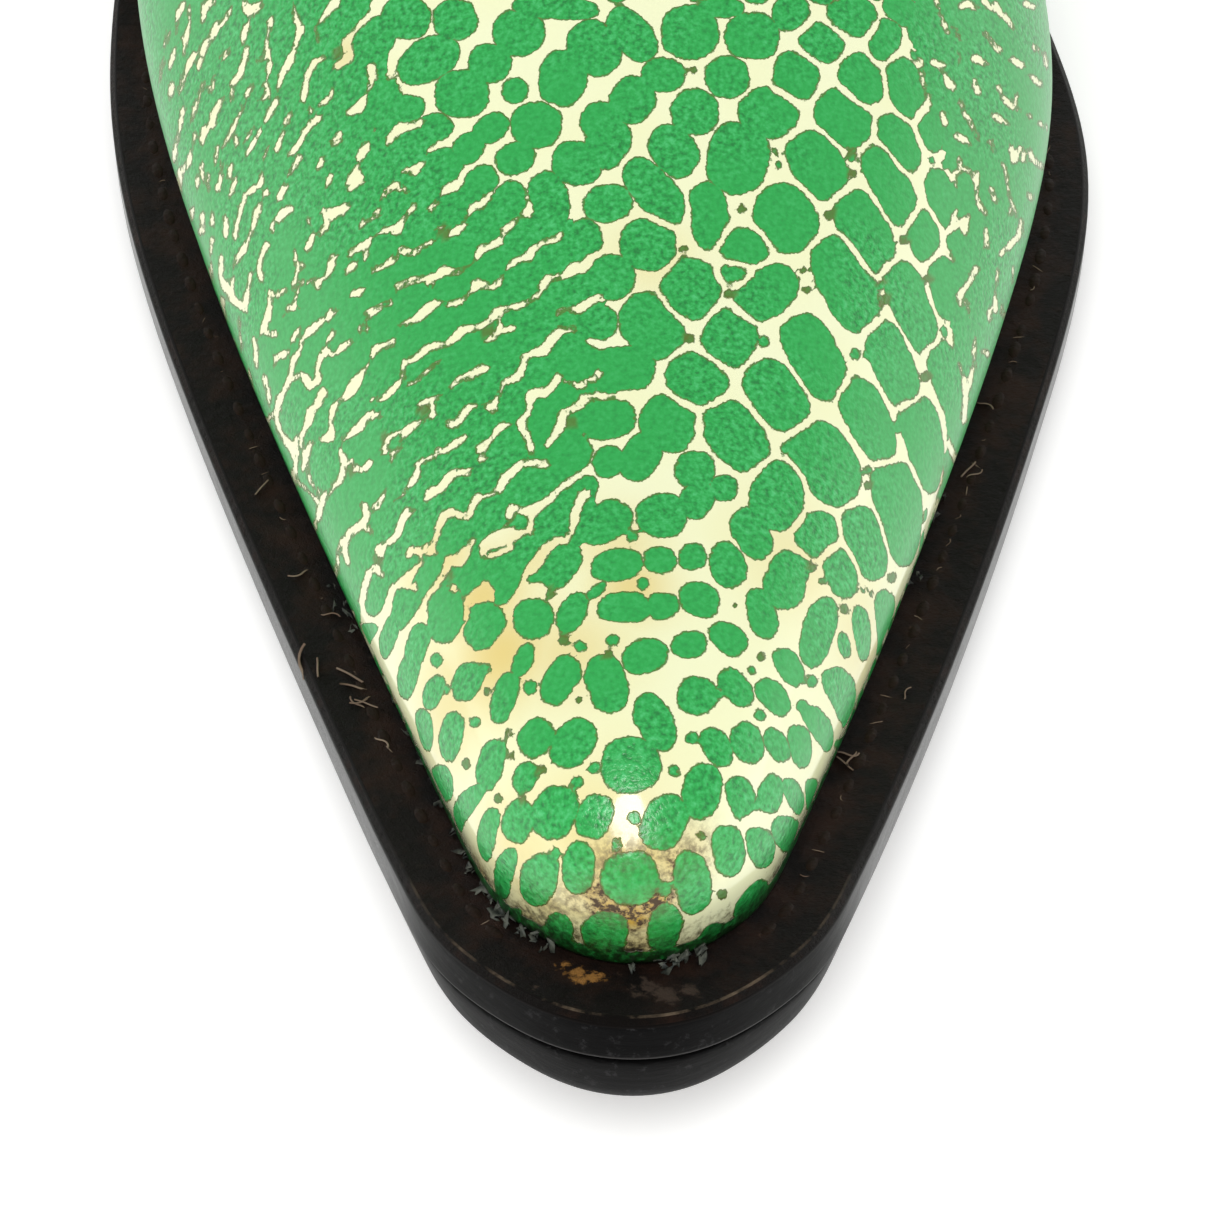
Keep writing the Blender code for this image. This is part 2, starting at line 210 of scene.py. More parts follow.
# The print: cream leather with green scales. Scales that stand out are charted as they lie in the photo, one
# tuple a scale: across, down, half its length and half its width in pixels, and its lean in degrees, + up to
# the right. They go from the toe's edge up the vamp. All others, in plain rows, come from a rule.
SCALE_CHART_PX = [
    # First row over the toe's edge.
    (558, 934, 21, 14, 90), (605, 934, 23, 21, 0), (665, 929, 23, 17, 75), (713, 942, 20, 14, 60),
    # Second row, up to the two flanks.
    (503, 876, 25, 9, 82), (537, 882, 26, 18, 80), (578, 869, 26, 16, 85), (630, 880, 29, 27, 0),
    (694, 886, 31, 18, -85), (754, 902, 24, 14, 60), (776, 884, 22, 11, 62),
    # Third row.
    (461, 812, 20, 8, 80), (486, 836, 26, 9, 85), (517, 822, 21, 16, 75), (553, 812, 27, 22, 65),
    (594, 816, 23, 17, 70), (665, 822, 28, 22, 65), (730, 852, 25, 16, -85), (763, 849, 20, 13, -80),
    (790, 835, 17, 8, 75), (806, 843, 14, 6, 65),
    # Fourth row.
    (441, 784, 19, 12, -70), (490, 764, 26, 13, 75), (525, 778, 16, 12, 65), (631, 764, 30, 28, 0),
    (703, 790, 28, 19, 80), (741, 797, 21, 14, -80), (772, 794, 20, 12, 80), (796, 798, 18, 8, -75),
    (812, 795, 16, 6, 85), (830, 785, 20, 9, 55),
    # Fifth row, beaded on the inner side.
    (424, 730, 21, 7, -80), (450, 737, 24, 11, 82), (535, 738, 20, 17, 45), (573, 743, 27, 20, 55),
    (655, 722, 30, 18, -65), (717, 747, 21, 14, -65), (748, 743, 21, 16, -70), (778, 746, 18, 11, -60),
    (801, 746, 21, 11, -80), (822, 729, 24, 10, -68),
    # Sixth row.
    (416, 647, 24, 11, 75), (407, 677, 22, 10, 80), (433, 692, 18, 9, 70), (467, 682, 20, 14, 65),
    (504, 697, 26, 12, 72), (523, 660, 17, 9, 60), (560, 680, 27, 16, 60), (607, 684, 30, 20, -75),
    (697, 695, 20, 19, 0), (736, 687, 22, 13, -50), (774, 697, 21, 13, -50), (845, 697, 32, 13, -62),
    (868, 690, 22, 8, 85),
    # Seventh row.
    (645, 656, 23, 17, 15), (690, 645, 18, 13, 10), (729, 639, 21, 14, -35), (790, 667, 21, 12, -58),
    (819, 632, 36, 16, 75), (845, 646, 13, 6, -80), (863, 634, 28, 8, -85), (886, 626, 36, 9, -87),
    (905, 600, 28, 10, 72),
    # Eighth row, in bars across the middle.
    (376, 596, 20, 10, 70), (404, 610, 22, 11, 65), (388, 637, 22, 8, 75), (366, 637, 14, 6, 70),
    (447, 615, 29, 18, 70), (484, 627, 24, 18, 50), (533, 618, 20, 20, 0), (572, 613, 22, 13, 62),
    (597, 590, 12, 5, 45), (625, 608, 27, 15, 0), (663, 606, 17, 13, 0), (700, 599, 21, 17, -20),
    (762, 614, 26, 14, -75), (787, 580, 29, 20, 75), (842, 573, 24, 14, -72),
    # Ninth row.
    (347, 585, 38, 9, -78), (424, 575, 23, 10, 60), (399, 563, 26, 11, 60), (480, 572, 19, 15, 30),
    (503, 578, 27, 17, 70), (537, 577, 11, 5, 25), (560, 564, 26, 18, 50), (617, 565, 26, 16, 10),
    (660, 560, 16, 13, 0), (693, 557, 14, 13, 0), (728, 565, 24, 17, -70), (752, 533, 27, 18, -60),
    (817, 534, 22, 19, 55), (868, 543, 37, 17, -72),
    # Rows that climb to the right, from the ball of the foot to the inner flank.
    (527, 548, 16, 12, 30), (551, 522, 23, 17, 42), (581, 491, 19, 12, 35), (609, 462, 17, 15, 30),
    (640, 457, 25, 19, 60), (668, 423, 29, 25, -40), (697, 378, 30, 26, 0), (729, 338, 29, 26, 60),
    (767, 293, 33, 23, 35), (786, 218, 34, 29, -60), (818, 165, 36, 24, -55), (844, 118, 31, 22, -45),
    (862, 79, 26, 20, -60), (885, 41, 21, 14, 75), (605, 522, 28, 19, 25), (662, 515, 25, 22, 0),
    (695, 470, 20, 18, 0), (697, 500, 20, 17, 60), (724, 488, 14, 13, 0), (736, 436, 37, 25, -50),
    (777, 395, 38, 24, -53), (816, 357, 46, 23, -61), (847, 284, 50, 25, -65), (866, 231, 43, 22, -62),
    (891, 185, 44, 18, -64), (899, 143, 31, 16, -62), (905, 87, 31, 16, -72), (514, 522, 12, 6, 20),
    (778, 496, 34, 26, 80), (827, 463, 43, 28, -58), (869, 419, 45, 20, -64), (895, 366, 47, 19, -69),
    (913, 307, 49, 18, -69), (924, 236, 27, 14, -75), (942, 198, 29, 12, -72), (931, 131, 20, 10, -75),
    (903, 514, 51, 20, -84), (926, 443, 49, 17, -80), (948, 380, 40, 13, -76), (943, 286, 33, 12, -82),
    # Rows that climb to the right over the middle of the vamp.
    (458, 532, 18, 15, 30), (487, 517, 18, 13, 30), (532, 487, 26, 18, 25), (570, 453, 22, 19, 0),
    (609, 420, 28, 19, 10), (628, 368, 27, 22, 0), (652, 325, 34, 28, -45), (690, 290, 30, 28, 60),
    (743, 245, 27, 17, -10), (734, 274, 15, 8, 0), (709, 216, 33, 19, -80), (738, 158, 36, 31, 80),
    (769, 113, 29, 24, 0), (796, 76, 25, 22, 80), (822, 43, 22, 20, 0), (852, 17, 24, 19, 0),
    (506, 448, 26, 16, 60), (545, 420, 21, 14, 65), (566, 395, 14, 10, 20), (512, 405, 20, 15, 70),
    (538, 373, 15, 14, 0), (573, 355, 28, 24, 55), (598, 322, 20, 17, 0), (530, 325, 28, 17, 30),
    (575, 288, 31, 12, 25), (612, 277, 23, 22, 60), (648, 244, 27, 25, 0), (655, 192, 39, 19, -48),
    (674, 151, 28, 22, -50), (694, 112, 24, 23, 0), (728, 77, 22, 21, 0), (752, 36, 27, 24, 0),
    (791, 13, 18, 17, 0), (721, 8, 24, 10, 0), (552, 258, 20, 15, 20), (515, 283, 24, 17, 40),
    (582, 240, 22, 19, 40), (608, 203, 25, 19, 10), (607, 143, 27, 22, 60), (632, 100, 24, 22, 60),
    (663, 75, 22, 17, 0), (690, 32, 29, 27, 0), (487, 262, 20, 15, 30), (520, 236, 27, 14, 35),
    (509, 199, 19, 16, 40), (549, 197, 26, 19, -70), (577, 163, 25, 22, 0), (602, 122, 22, 20, 0),
    (478, 185, 23, 15, 45), (515, 158, 20, 16, 20), (536, 125, 25, 23, 0), (563, 78, 28, 24, 80),
    (594, 48, 29, 25, -45), (632, 34, 31, 19, -50), (444, 165, 19, 16, 30), (468, 148, 18, 14, 35),
    (491, 128, 19, 14, 30), (515, 90, 14, 13, 0), (490, 63, 21, 20, 0), (518, 33, 26, 23, 0),
    (555, 8, 42, 10, -3), (432, 128, 21, 14, 10), (462, 94, 27, 24, 0), (428, 60, 33, 21, 30),
    (455, 20, 22, 20, 0), (405, 18, 25, 21, 0), (375, 40, 26, 18, 60), (345, 22, 26, 15, 50),
    (353, 82, 20, 12, 80), (320, 82, 21, 11, 70), (385, 98, 18, 15, 50), (410, 107, 15, 12, 0),
]

# On the outer side of the vamp the scales have run together, and the cream shows as short streaks between
# their rows. There the streaks are charted: for each, the points along it as across, down and half its width.
STREAK_CHART_PX = [
    # The outer flank, beside the instep.
    ((184, 2, 3), (178, 15, 3), (176, 30, 2)), ((190, 8, 2), (189, 25, 2), (185, 40, 4), (184, 52, 2)),
    ((211, 2, 5), (205, 6, 5), (202, 20, 2)), ((247, 25, 4), (243, 38, 3)), ((223, 58, 4), (230, 50, 3)),
    ((231, 8, 2), (225, 20, 3), (217, 27, 5), (212, 38, 4), (205, 45, 4), (202, 55, 3), (199, 66, 3)),
    ((195, 56, 4), (188, 65, 3), (184, 78, 3), (180, 92, 3)), ((175, 50, 3), (170, 68, 3)),
    ((170, 30, 3), (165, 45, 2)), ((163, 62, 2), (160, 80, 2)), ((172, 85, 3), (170, 98, 2)),
    ((244, 3, 4), (250, 10, 6), (262, 4, 4)),
    ((247, 49, 4), (244, 62, 3), (241, 75, 3), (233, 83, 4), (231, 98, 2)), ((214, 77, 3), (211, 90, 3)),
    ((203, 84, 3), (198, 98, 2), (194, 110, 3), (191, 122, 2)),
    ((183, 110, 3), (181, 122, 3), (178, 135, 2), (174, 160, 3)),
    ((226, 97, 2), (218, 105, 4), (214, 115, 4), (211, 127, 4)), ((253, 84, 3), (247, 95, 3)),
    ((266, 85, 3), (268, 97, 4), (260, 100, 3)), ((270, 62, 3), (269, 72, 3)),
    ((266, 42, 2), (268, 55, 4), (258, 62, 2)), ((271, 20, 4), (270, 32, 2)),
    ((276, 102, 4), (270, 112, 4), (266, 120, 2)), ((290, 114, 3), (286, 123, 3)),
    ((282, 135, 2), (277, 148, 4)), ((268, 148, 3), (265, 156, 2)), ((253, 128, 3), (245, 141, 2)),
    ((259, 132, 3), (253, 145, 3), (248, 153, 2)),
    ((243, 107, 2), (238, 118, 2), (232, 130, 3), (228, 138, 3), (223, 147, 2)),
    ((236, 140, 3), (237, 150, 2)), ((205, 130, 4), (202, 142, 4)), ((195, 135, 3), (193, 143, 2)),
    ((218, 148, 2), (216, 162, 2)), ((221, 160, 2), (221, 180, 2), (218, 188, 3)),
    ((202, 165, 3), (203, 177, 2)),
    ((190, 155, 3), (188, 165, 4), (180, 172, 4), (178, 195, 3), (176, 210, 3)),
    ((197, 180, 3), (197, 187, 2)), ((208, 175, 3), (209, 190, 2)), ((232, 165, 3), (229, 178, 2)),
    ((235, 180, 3), (230, 195, 3)),
    ((261, 175, 3), (260, 185, 4), (253, 190, 4), (245, 195, 3), (242, 205, 3), (239, 220, 2)),
    ((266, 192, 4), (265, 194, 3)), ((212, 215, 3), (212, 225, 3)), ((203, 215, 3), (201, 232, 3)),
    ((193, 210, 3), (192, 218, 2)), ((225, 218, 3), (226, 235, 3)), ((237, 222, 3), (235, 238, 3)),
    ((212, 240, 3), (211, 253, 2)),
    ((260, 205, 3), (256, 217, 4), (252, 230, 3), (248, 242, 3), (243, 250, 5), (238, 258, 3), (235, 265, 2)),
    ((187, 236, 2), (186, 246, 2)), ((198, 253, 2), (197, 262, 2), (200, 276, 3)),
    ((211, 265, 2), (210, 285, 3), (208, 292, 3)),
    ((221, 258, 3), (221, 275, 3), (226, 287, 5), (230, 291, 4), (233, 300, 3), (240, 305, 4), (246, 311, 3)),
    ((233, 280, 3), (231, 290, 3)), ((251, 275, 3), (248, 290, 3), (246, 302, 4)),
    ((222, 300, 3), (224, 315, 3), (225, 327, 2)), ((239, 320, 2), (240, 335, 2), (241, 348, 2)),
    ((229, 340, 3), (233, 347, 4), (233, 357, 2)), ((219, 337, 4), (226, 342, 3)),
    ((254, 340, 3), (256, 355, 3), (257, 367, 2)),
    ((249, 372, 2), (250, 388, 3), (252, 405, 2), (254, 420, 2)),
    ((265, 378, 3), (268, 390, 3), (269, 402, 2)),
    ((275, 412, 3), (268, 420, 3), (267, 430, 3), (264, 440, 2)),
    # The shoulder between the flank and the top of the vamp.
    ((293, 5, 3), (295, 18, 3), (301, 28, 5), (297, 40, 3), (294, 50, 3), (289, 62, 5), (283, 72, 3),
     (278, 88, 2)), ((317, 30, 4), (319, 41, 2)), ((335, 3, 5), (327, 12, 4), (320, 22, 3)),
    ((376, 3, 6), (373, 13, 5), (362, 23, 3), (355, 31, 3), (346, 43, 6), (349, 57, 6), (337, 66, 4)),
    ((323, 58, 4), (315, 63, 4), (309, 71, 4), (306, 82, 3), (303, 101, 4)),
    ((371, 68, 5), (373, 80, 5), (368, 91, 2)), ((391, 74, 5), (389, 77, 4)),
    ((333, 88, 2), (332, 95, 4), (322, 103, 3)), ((363, 99, 3), (359, 107, 6), (350, 113, 4)),
    ((318, 119, 4), (311, 124, 4), (304, 134, 3), (298, 146, 3), (290, 154, 3)),
    ((340, 134, 4), (338, 140, 5), (331, 144, 3)), ((366, 147, 5), (360, 156, 5)),
    ((374, 131, 2), (374, 133, 2)), ((310, 110, 3), (310, 112, 2)),
    ((300, 158, 4), (294, 166, 3), (289, 175, 2)), ((322, 160, 3), (319, 167, 4)),
    ((330, 177, 4), (327, 185, 3)), ((358, 169, 4), (353, 178, 6), (362, 179, 5), (350, 188, 4)),
    ((285, 188, 4), (280, 198, 3)), ((291, 209, 4), (282, 214, 5), (279, 220, 5)),
    ((347, 206, 4), (340, 211, 5), (328, 215, 6), (322, 211, 4)),
    ((328, 218, 4), (325, 230, 4), (321, 234, 3)),
    ((379, 212, 4), (373, 217, 3), (364, 221, 4), (360, 228, 2)), ((309, 217, 3), (309, 222, 3)),
    ((312, 235, 3), (307, 247, 4)), ((267, 245, 4), (262, 254, 3), (259, 268, 4), (261, 280, 3)),
    ((272, 227, 3), (272, 230, 3)), ((370, 240, 3), (362, 246, 3), (355, 250, 3), (349, 254, 4)),
    ((368, 243, 3), (365, 258, 3)), ((295, 253, 3), (297, 266, 2), (303, 266, 3)),
    ((298, 270, 2), (293, 285, 2)), ((354, 265, 4), (346, 272, 3)),
    ((269, 292, 3), (276, 296, 3), (283, 290, 3)),
    ((270, 295, 3), (270, 305, 3), (268, 315, 3), (265, 325, 5), (261, 333, 2)),
    ((265, 333, 2), (275, 334, 4)), ((295, 308, 3), (289, 308, 4), (285, 314, 2)),
    ((298, 290, 2), (295, 303, 2)), ((298, 330, 3), (292, 341, 3)),
    ((285, 353, 4), (276, 358, 4), (275, 363, 2)),
    ((303, 282, 3), (312, 283, 3), (322, 279, 3), (328, 274, 3), (330, 268, 4), (334, 257, 4), (338, 256, 2)),
    ((318, 284, 3), (318, 288, 3)), ((321, 322, 4), (316, 326, 5), (309, 333, 4), (304, 338, 2)),
    ((337, 308, 2), (332, 312, 5), (328, 319, 4)), ((333, 332, 4), (328, 341, 3)),
    ((349, 342, 4), (342, 348, 5), (336, 353, 3)), ((364, 288, 2), (358, 292, 5), (351, 295, 3)),
    ((378, 310, 3), (370, 312, 5), (366, 315, 2)), ((390, 303, 4), (383, 305, 3)),
    ((360, 327, 3), (360, 329, 3)), ((367, 328, 3), (367, 330, 3)),
    ((302, 340, 2), (300, 350, 4), (294, 358, 3), (292, 370, 3), (290, 378, 3), (285, 388, 3), (280, 398, 4),
     (278, 408, 4), (277, 418, 3), (279, 428, 3), (285, 440, 4), (293, 447, 6), (294, 458, 3)),
    ((292, 379, 3), (301, 374, 4), (308, 381, 5), (310, 388, 3), (318, 379, 4), (318, 366, 3), (321, 356, 4),
     (326, 351, 5), (331, 355, 2)),
    ((368, 365, 2), (362, 373, 4), (356, 381, 6), (353, 390, 6), (345, 397, 4), (338, 401, 3), (333, 408, 4),
     (331, 418, 3), (331, 431, 4), (329, 437, 6), (322, 439, 3)),
    ((323, 393, 5), (318, 402, 5), (312, 410, 5), (308, 422, 5), (303, 432, 3), (301, 445, 3)),
    ((311, 443, 4), (305, 455, 4), (303, 470, 3)),
    # The top of the vamp, in long streaks that climb to the right.
    ((405, 190, 4), (395, 186, 4), (386, 191, 4), (382, 198, 3)),
    ((413, 207, 4), (408, 213, 2), (403, 220, 3), (398, 229, 5), (388, 230, 4), (381, 233, 3)),
    ((402, 87, 4), (405, 92, 5), (416, 88, 3), (430, 91, 6), (436, 86, 5), (441, 81, 2)),
    ((429, 98, 4), (432, 105, 4), (437, 104, 3)),
    ((419, 124, 4), (410, 127, 4), (400, 127, 5), (393, 135, 5), (388, 142, 4)),
    ((422, 163, 4), (415, 170, 6), (404, 171, 3)),
    ((477, 121, 4), (470, 128, 6), (461, 125, 5), (454, 136, 4), (452, 144, 5), (440, 146, 4), (430, 150, 4)),
    ((496, 146, 5), (491, 153, 7), (487, 161, 5), (476, 166, 3), (467, 167, 4), (464, 175, 3), (457, 186, 5),
     (445, 190, 5)), ((436, 203, 3), (430, 208, 4)),
    ((488, 197, 4), (482, 205, 5), (472, 207, 4), (470, 213, 3)),
    ((547, 165, 5), (539, 168, 3), (529, 175, 5), (524, 181, 4), (507, 177, 4), (499, 183, 4), (493, 190, 3)),
    ((528, 204, 4), (529, 213, 6), (522, 215, 4)), ((514, 222, 3), (504, 230, 5)),
    ((466, 224, 4), (458, 230, 5), (450, 234, 4)), ((446, 228, 3), (437, 230, 3)),
    ((372, 271, 3), (383, 267, 3), (393, 260, 4)), ((402, 250, 4), (415, 253, 4)),
    ((421, 247, 2), (432, 243, 3)),
    ((396, 287, 4), (410, 281, 4), (428, 278, 4), (437, 276, 4), (446, 270, 5), (456, 272, 4), (466, 268, 3),
     (471, 265, 2)), ((428, 282, 4), (430, 284, 3)),
    ((401, 325, 4), (418, 318, 4), (428, 308, 5), (436, 303, 5), (441, 303, 2)),
    ((450, 305, 4), (459, 302, 4), (470, 293, 2), (476, 285, 6), (490, 287, 5), (497, 284, 5), (502, 278, 3)),
    ((402, 375, 3), (404, 363, 4), (418, 357, 4), (428, 347, 5), (445, 345, 4), (455, 338, 4), (463, 330, 5),
     (478, 328, 3), (488, 322, 4), (497, 313, 5), (506, 310, 4)),
    ((498, 320, 3), (502, 330, 4), (513, 329, 4)), ((498, 333, 3), (486, 343, 3)),
    ((513, 308, 4), (527, 301, 3), (537, 296, 4)),
    ((372, 356, 3), (375, 349, 4), (387, 345, 4), (394, 341, 4)),
    ((371, 400, 3), (385, 398, 4), (395, 388, 4), (403, 378, 2)),
    ((409, 384, 3), (416, 381, 2), (425, 373, 2), (438, 362, 2)),
    ((451, 386, 3), (458, 380, 4), (470, 376, 4), (483, 369, 5), (487, 369, 3)),
    ((501, 390, 3), (504, 383, 4), (517, 378, 5), (522, 369, 4), (524, 358, 4), (532, 354, 4), (545, 350, 6),
     (553, 337, 5), (561, 331, 4), (575, 328, 4)), ((488, 406, 4), (494, 409, 4), (496, 398, 3)),
    ((421, 405, 4), (430, 401, 4), (440, 397, 3)), ((432, 403, 3), (434, 416, 3), (426, 420, 2)),
    ((449, 424, 5), (452, 426, 5), (460, 419, 4), (468, 408, 4), (476, 405, 3)),
    ((371, 417, 3), (379, 416, 3)),
    ((421, 422, 3), (413, 426, 4), (403, 433, 4), (392, 434, 3), (386, 442, 3), (382, 452, 3), (393, 453, 3),
     (401, 446, 3)), ((393, 455, 4), (391, 462, 2)),
    ((438, 451, 4), (447, 450, 4), (456, 443, 4), (464, 438, 3)),
    ((479, 448, 4), (485, 445, 4), (493, 438, 3), (500, 427, 4), (507, 424, 3)),
    ((480, 459, 4), (484, 458, 4)),
    ((530, 406, 3), (528, 414, 4), (519, 424, 4), (524, 431, 4), (529, 440, 5), (531, 448, 5)),
    ((529, 403, 4), (531, 394, 5), (545, 393, 5), (554, 384, 5), (558, 376, 4), (566, 381, 2), (580, 386, 3),
     (589, 381, 4), (599, 374, 5)),
    ((547, 445, 4), (553, 437, 4), (561, 425, 5), (564, 413, 5), (575, 409, 5), (585, 399, 6), (597, 396, 3)),
    ((558, 313, 4), (567, 311, 2), (578, 310, 5), (590, 301, 5), (598, 297, 4)),
    ((543, 286, 5), (547, 279, 5), (562, 277, 4), (575, 269, 7), (585, 267, 6), (591, 259, 5), (598, 252, 4)),
    ((509, 266, 4), (519, 260, 4), (530, 256, 5), (534, 247, 3), (545, 242, 3), (557, 239, 4), (561, 233, 3)),
    ((478, 255, 4), (483, 248, 4), (491, 247, 4), (499, 242, 4)),
    # The outer side of the toe.
    ((343, 440, 3), (352, 433, 4), (360, 427, 4), (366, 417, 4), (370, 413, 4), (379, 416, 3)),
    ((341, 452, 4), (345, 460, 4), (352, 461, 4)), ((355, 468, 4), (364, 470, 4), (370, 463, 3)),
    ((345, 463, 4), (341, 478, 4), (334, 486, 4), (329, 492, 3)),
    ((411, 484, 3), (417, 476, 4), (418, 465, 4), (425, 460, 4), (431, 457, 3)),
    ((396, 500, 2), (402, 496, 2), (408, 487, 2)), ((376, 507, 5), (379, 502, 4), (384, 492, 2)),
    ((426, 500, 3), (431, 493, 6), (441, 489, 5), (448, 478, 4), (455, 472, 4), (465, 472, 5), (471, 470, 3)),
    ((437, 531, 4), (443, 517, 5), (450, 512, 5), (457, 515, 4), (468, 517, 4), (473, 505, 4), (478, 497, 4),
     (490, 495, 3), (499, 488, 4), (505, 478, 6), (515, 470, 5), (522, 463, 4), (530, 464, 4), (546, 464, 4)),
    ((408, 556, 4), (411, 550, 4), (423, 550, 5), (433, 544, 5), (438, 534, 4)),
    ((416, 553, 4), (434, 552, 4)), ((401, 583, 5), (409, 577, 6), (417, 567, 4), (422, 560, 3)),
    ((389, 599, 4), (393, 588, 4), (402, 584, 5), (415, 587, 4)),
    ((381, 622, 4), (386, 612, 4), (389, 600, 4)), ((369, 617, 4), (375, 622, 4)),
    ((359, 622, 3), (362, 602, 4), (365, 585, 4), (370, 572, 5), (376, 567, 4), (380, 574, 4)),
    ((348, 563, 3), (345, 550, 4), (347, 538, 4), (353, 530, 4), (362, 525, 5), (366, 517, 4), (364, 505, 4)),
    ((364, 527, 4), (370, 532, 4)), ((336, 575, 3), (338, 555, 3), (341, 540, 2)),
    ((383, 556, 4), (378, 549, 5), (384, 545, 4), (397, 536, 4), (402, 523, 4), (408, 512, 5), (414, 509, 3)),
    ((420, 625, 5), (423, 606, 5), (428, 595, 4), (437, 585, 4), (445, 571, 5), (449, 561, 6), (460, 561, 7),
     (468, 549, 5), (474, 541, 4)), ((453, 588, 4), (456, 590, 3)),
    ((467, 617, 4), (467, 601, 5), (479, 596, 9), (486, 586, 5), (491, 596, 7), (499, 603, 4)),
    ((483, 556, 4), (484, 545, 6), (495, 541, 9), (505, 536, 9), (514, 534, 7), (527, 528, 6), (531, 534, 3)),
    ((490, 556, 4), (510, 547, 4)),
    ((509, 516, 5), (511, 508, 5), (521, 511, 5), (531, 512, 6), (539, 507, 5), (549, 500, 4), (557, 491, 4)),
    ((531, 512, 4), (531, 530, 4)),
    ((528, 571, 4), (536, 563, 6), (545, 551, 6), (558, 541, 5), (567, 541, 4), (573, 526, 4), (576, 510, 5),
     (582, 497, 6), (606, 485, 5), (617, 474, 5), (626, 471, 3)),
    ((557, 491, 4), (575, 478, 4), (590, 468, 5), (596, 471, 3)),
    # Thin lines round the last scales above the outer edge.
    ((296, 438, 3), (297, 460, 3), (293, 476, 4), (292, 502, 3), (302, 517, 2)),
    ((264, 447, 2), (278, 470, 2), (290, 488, 3)),
    ((303, 447, 2), (305, 464, 2), (311, 482, 2), (319, 492, 3)),
    ((329, 492, 3), (325, 494, 4), (322, 503, 4), (318, 518, 3), (313, 532, 3)),
    ((293, 478, 3), (299, 482, 2), (311, 494, 2), (321, 504, 3)),
    ((311, 532, 3), (315, 549, 2), (325, 570, 3)),
    # Where the streaks run out into the open cream.
    ((590, 341, 4), (600, 346, 6), (616, 341, 5), (630, 348, 4), (645, 355, 3)),
    ((597, 396, 4), (610, 397, 4), (630, 394, 6), (655, 391, 7), (668, 385, 5)),
    ((583, 434, 2), (598, 444, 3), (615, 440, 5), (640, 437, 4)),
    ((625, 310, 5), (612, 302, 4), (598, 297, 4)),
    # The inner flank, in short flecks between rows that rise steeply.
    ((954, 24, 3), (959, 40, 3)), ((985, 34, 4), (992, 42, 4), (999, 51, 4)), ((975, 58, 5), (986, 64, 4)),
    ((1011, 26, 3), (1013, 29, 3)), ((1034, 46, 3), (1037, 50, 3)), ((1011, 60, 4), (1022, 65, 4)),
    ((947, 82, 4), (954, 88, 4)), ((974, 80, 4), (978, 92, 4)), ((958, 50, 2), (960, 67, 2)),
    ((932, 62, 4), (944, 66, 4)), ((928, 96, 4), (926, 108, 4)),
    ((1006, 98, 3), (1012, 106, 5), (1018, 110, 3)), ((993, 115, 4), (1000, 119, 5), (1007, 124, 3)),
    ((1029, 115, 3), (1031, 118, 3)), ((1040, 123, 4), (1047, 129, 3)), ((943, 114, 4), (945, 124, 4)),
    ((964, 113, 3), (971, 124, 3), (979, 139, 3)), ((957, 136, 4), (965, 140, 5), (971, 146, 3)),
    ((991, 141, 4), (993, 150, 4)), ((1020, 148, 4), (1014, 160, 5)), ((1040, 166, 4), (1043, 168, 3)),
    ((933, 159, 6), (942, 167, 5)), ((959, 160, 3), (960, 169, 4)), ((924, 175, 4), (926, 182, 3)),
    ((977, 175, 4), (976, 190, 3), (979, 203, 4), (985, 213, 3)), ((990, 189, 4), (995, 200, 4)),
    ((1030, 195, 4), (1032, 199, 3)), ((920, 200, 6), (926, 206, 5)), ((1011, 203, 2), (1010, 213, 3)),
    ((962, 224, 7), (965, 232, 5)), ((942, 232, 4), (944, 246, 4)), ((986, 229, 3), (987, 247, 4)),
    ((1016, 239, 4), (1009, 246, 4), (1002, 253, 4)), ((1013, 268, 2), (1013, 281, 2)),
    ((975, 269, 5), (971, 281, 4), (960, 295, 5), (960, 305, 3)),
    ((997, 270, 3), (995, 295, 2), (995, 310, 5)), ((968, 304, 3), (969, 314, 2)),
    ((942, 327, 5), (948, 336, 6), (951, 346, 4)), ((975, 340, 3), (973, 366, 3)),
    ((985, 352, 4), (990, 356, 3)), ((964, 380, 5), (966, 396, 4), (964, 420, 4)),
    ((926, 386, 7), (934, 392, 5), (940, 410, 4), (944, 435, 4), (952, 452, 5), (957, 464, 4)),
    ((942, 470, 2), (940, 482, 3), (932, 495, 6), (930, 512, 6), (926, 525, 4), (924, 545, 3)),
    ((936, 500, 4), (935, 516, 3)), ((930, 555, 5), (924, 566, 6)),
    # Thin lines between those flecks.
    ((936, 2, 3), (940, 14, 3), (944, 24, 3), (948, 32, 3)), ((960, 6, 4), (968, 3, 5), (976, 8, 4)),
    ((984, 1, 4), (990, 8, 3)), ((996, 5, 4), (1001, 14, 4), (1008, 20, 4), (1014, 27, 3)),
    ((1024, 3, 4), (1033, 6, 4)), ((1044, 52, 3), (1046, 66, 3)), ((1030, 76, 4), (1040, 84, 4)),
    ((921, 60, 4), (923, 75, 3), (924, 92, 3), (928, 104, 5)), ((938, 64, 4), (944, 72, 3), (949, 84, 5)),
    ((998, 86, 3), (1001, 96, 3), (1006, 103, 3)), ((1016, 96, 3), (1015, 106, 3)),
    ((961, 102, 3), (964, 114, 3)), ((1012, 146, 3), (1014, 158, 5), (1022, 160, 4), (1028, 149, 3)),
    ((1028, 149, 3), (1033, 160, 4), (1042, 166, 4)),
    ((1003, 166, 3), (1007, 176, 3), (1008, 190, 3), (1013, 204, 3), (1016, 216, 3)),
    ((944, 168, 4), (952, 175, 4), (960, 171, 3), (967, 169, 3), (973, 174, 3), (976, 182, 3)),
    ((953, 176, 3), (956, 186, 2)), ((956, 212, 3), (953, 222, 4)),
    ((943, 234, 4), (952, 228, 5), (962, 224, 5), (968, 216, 4)),
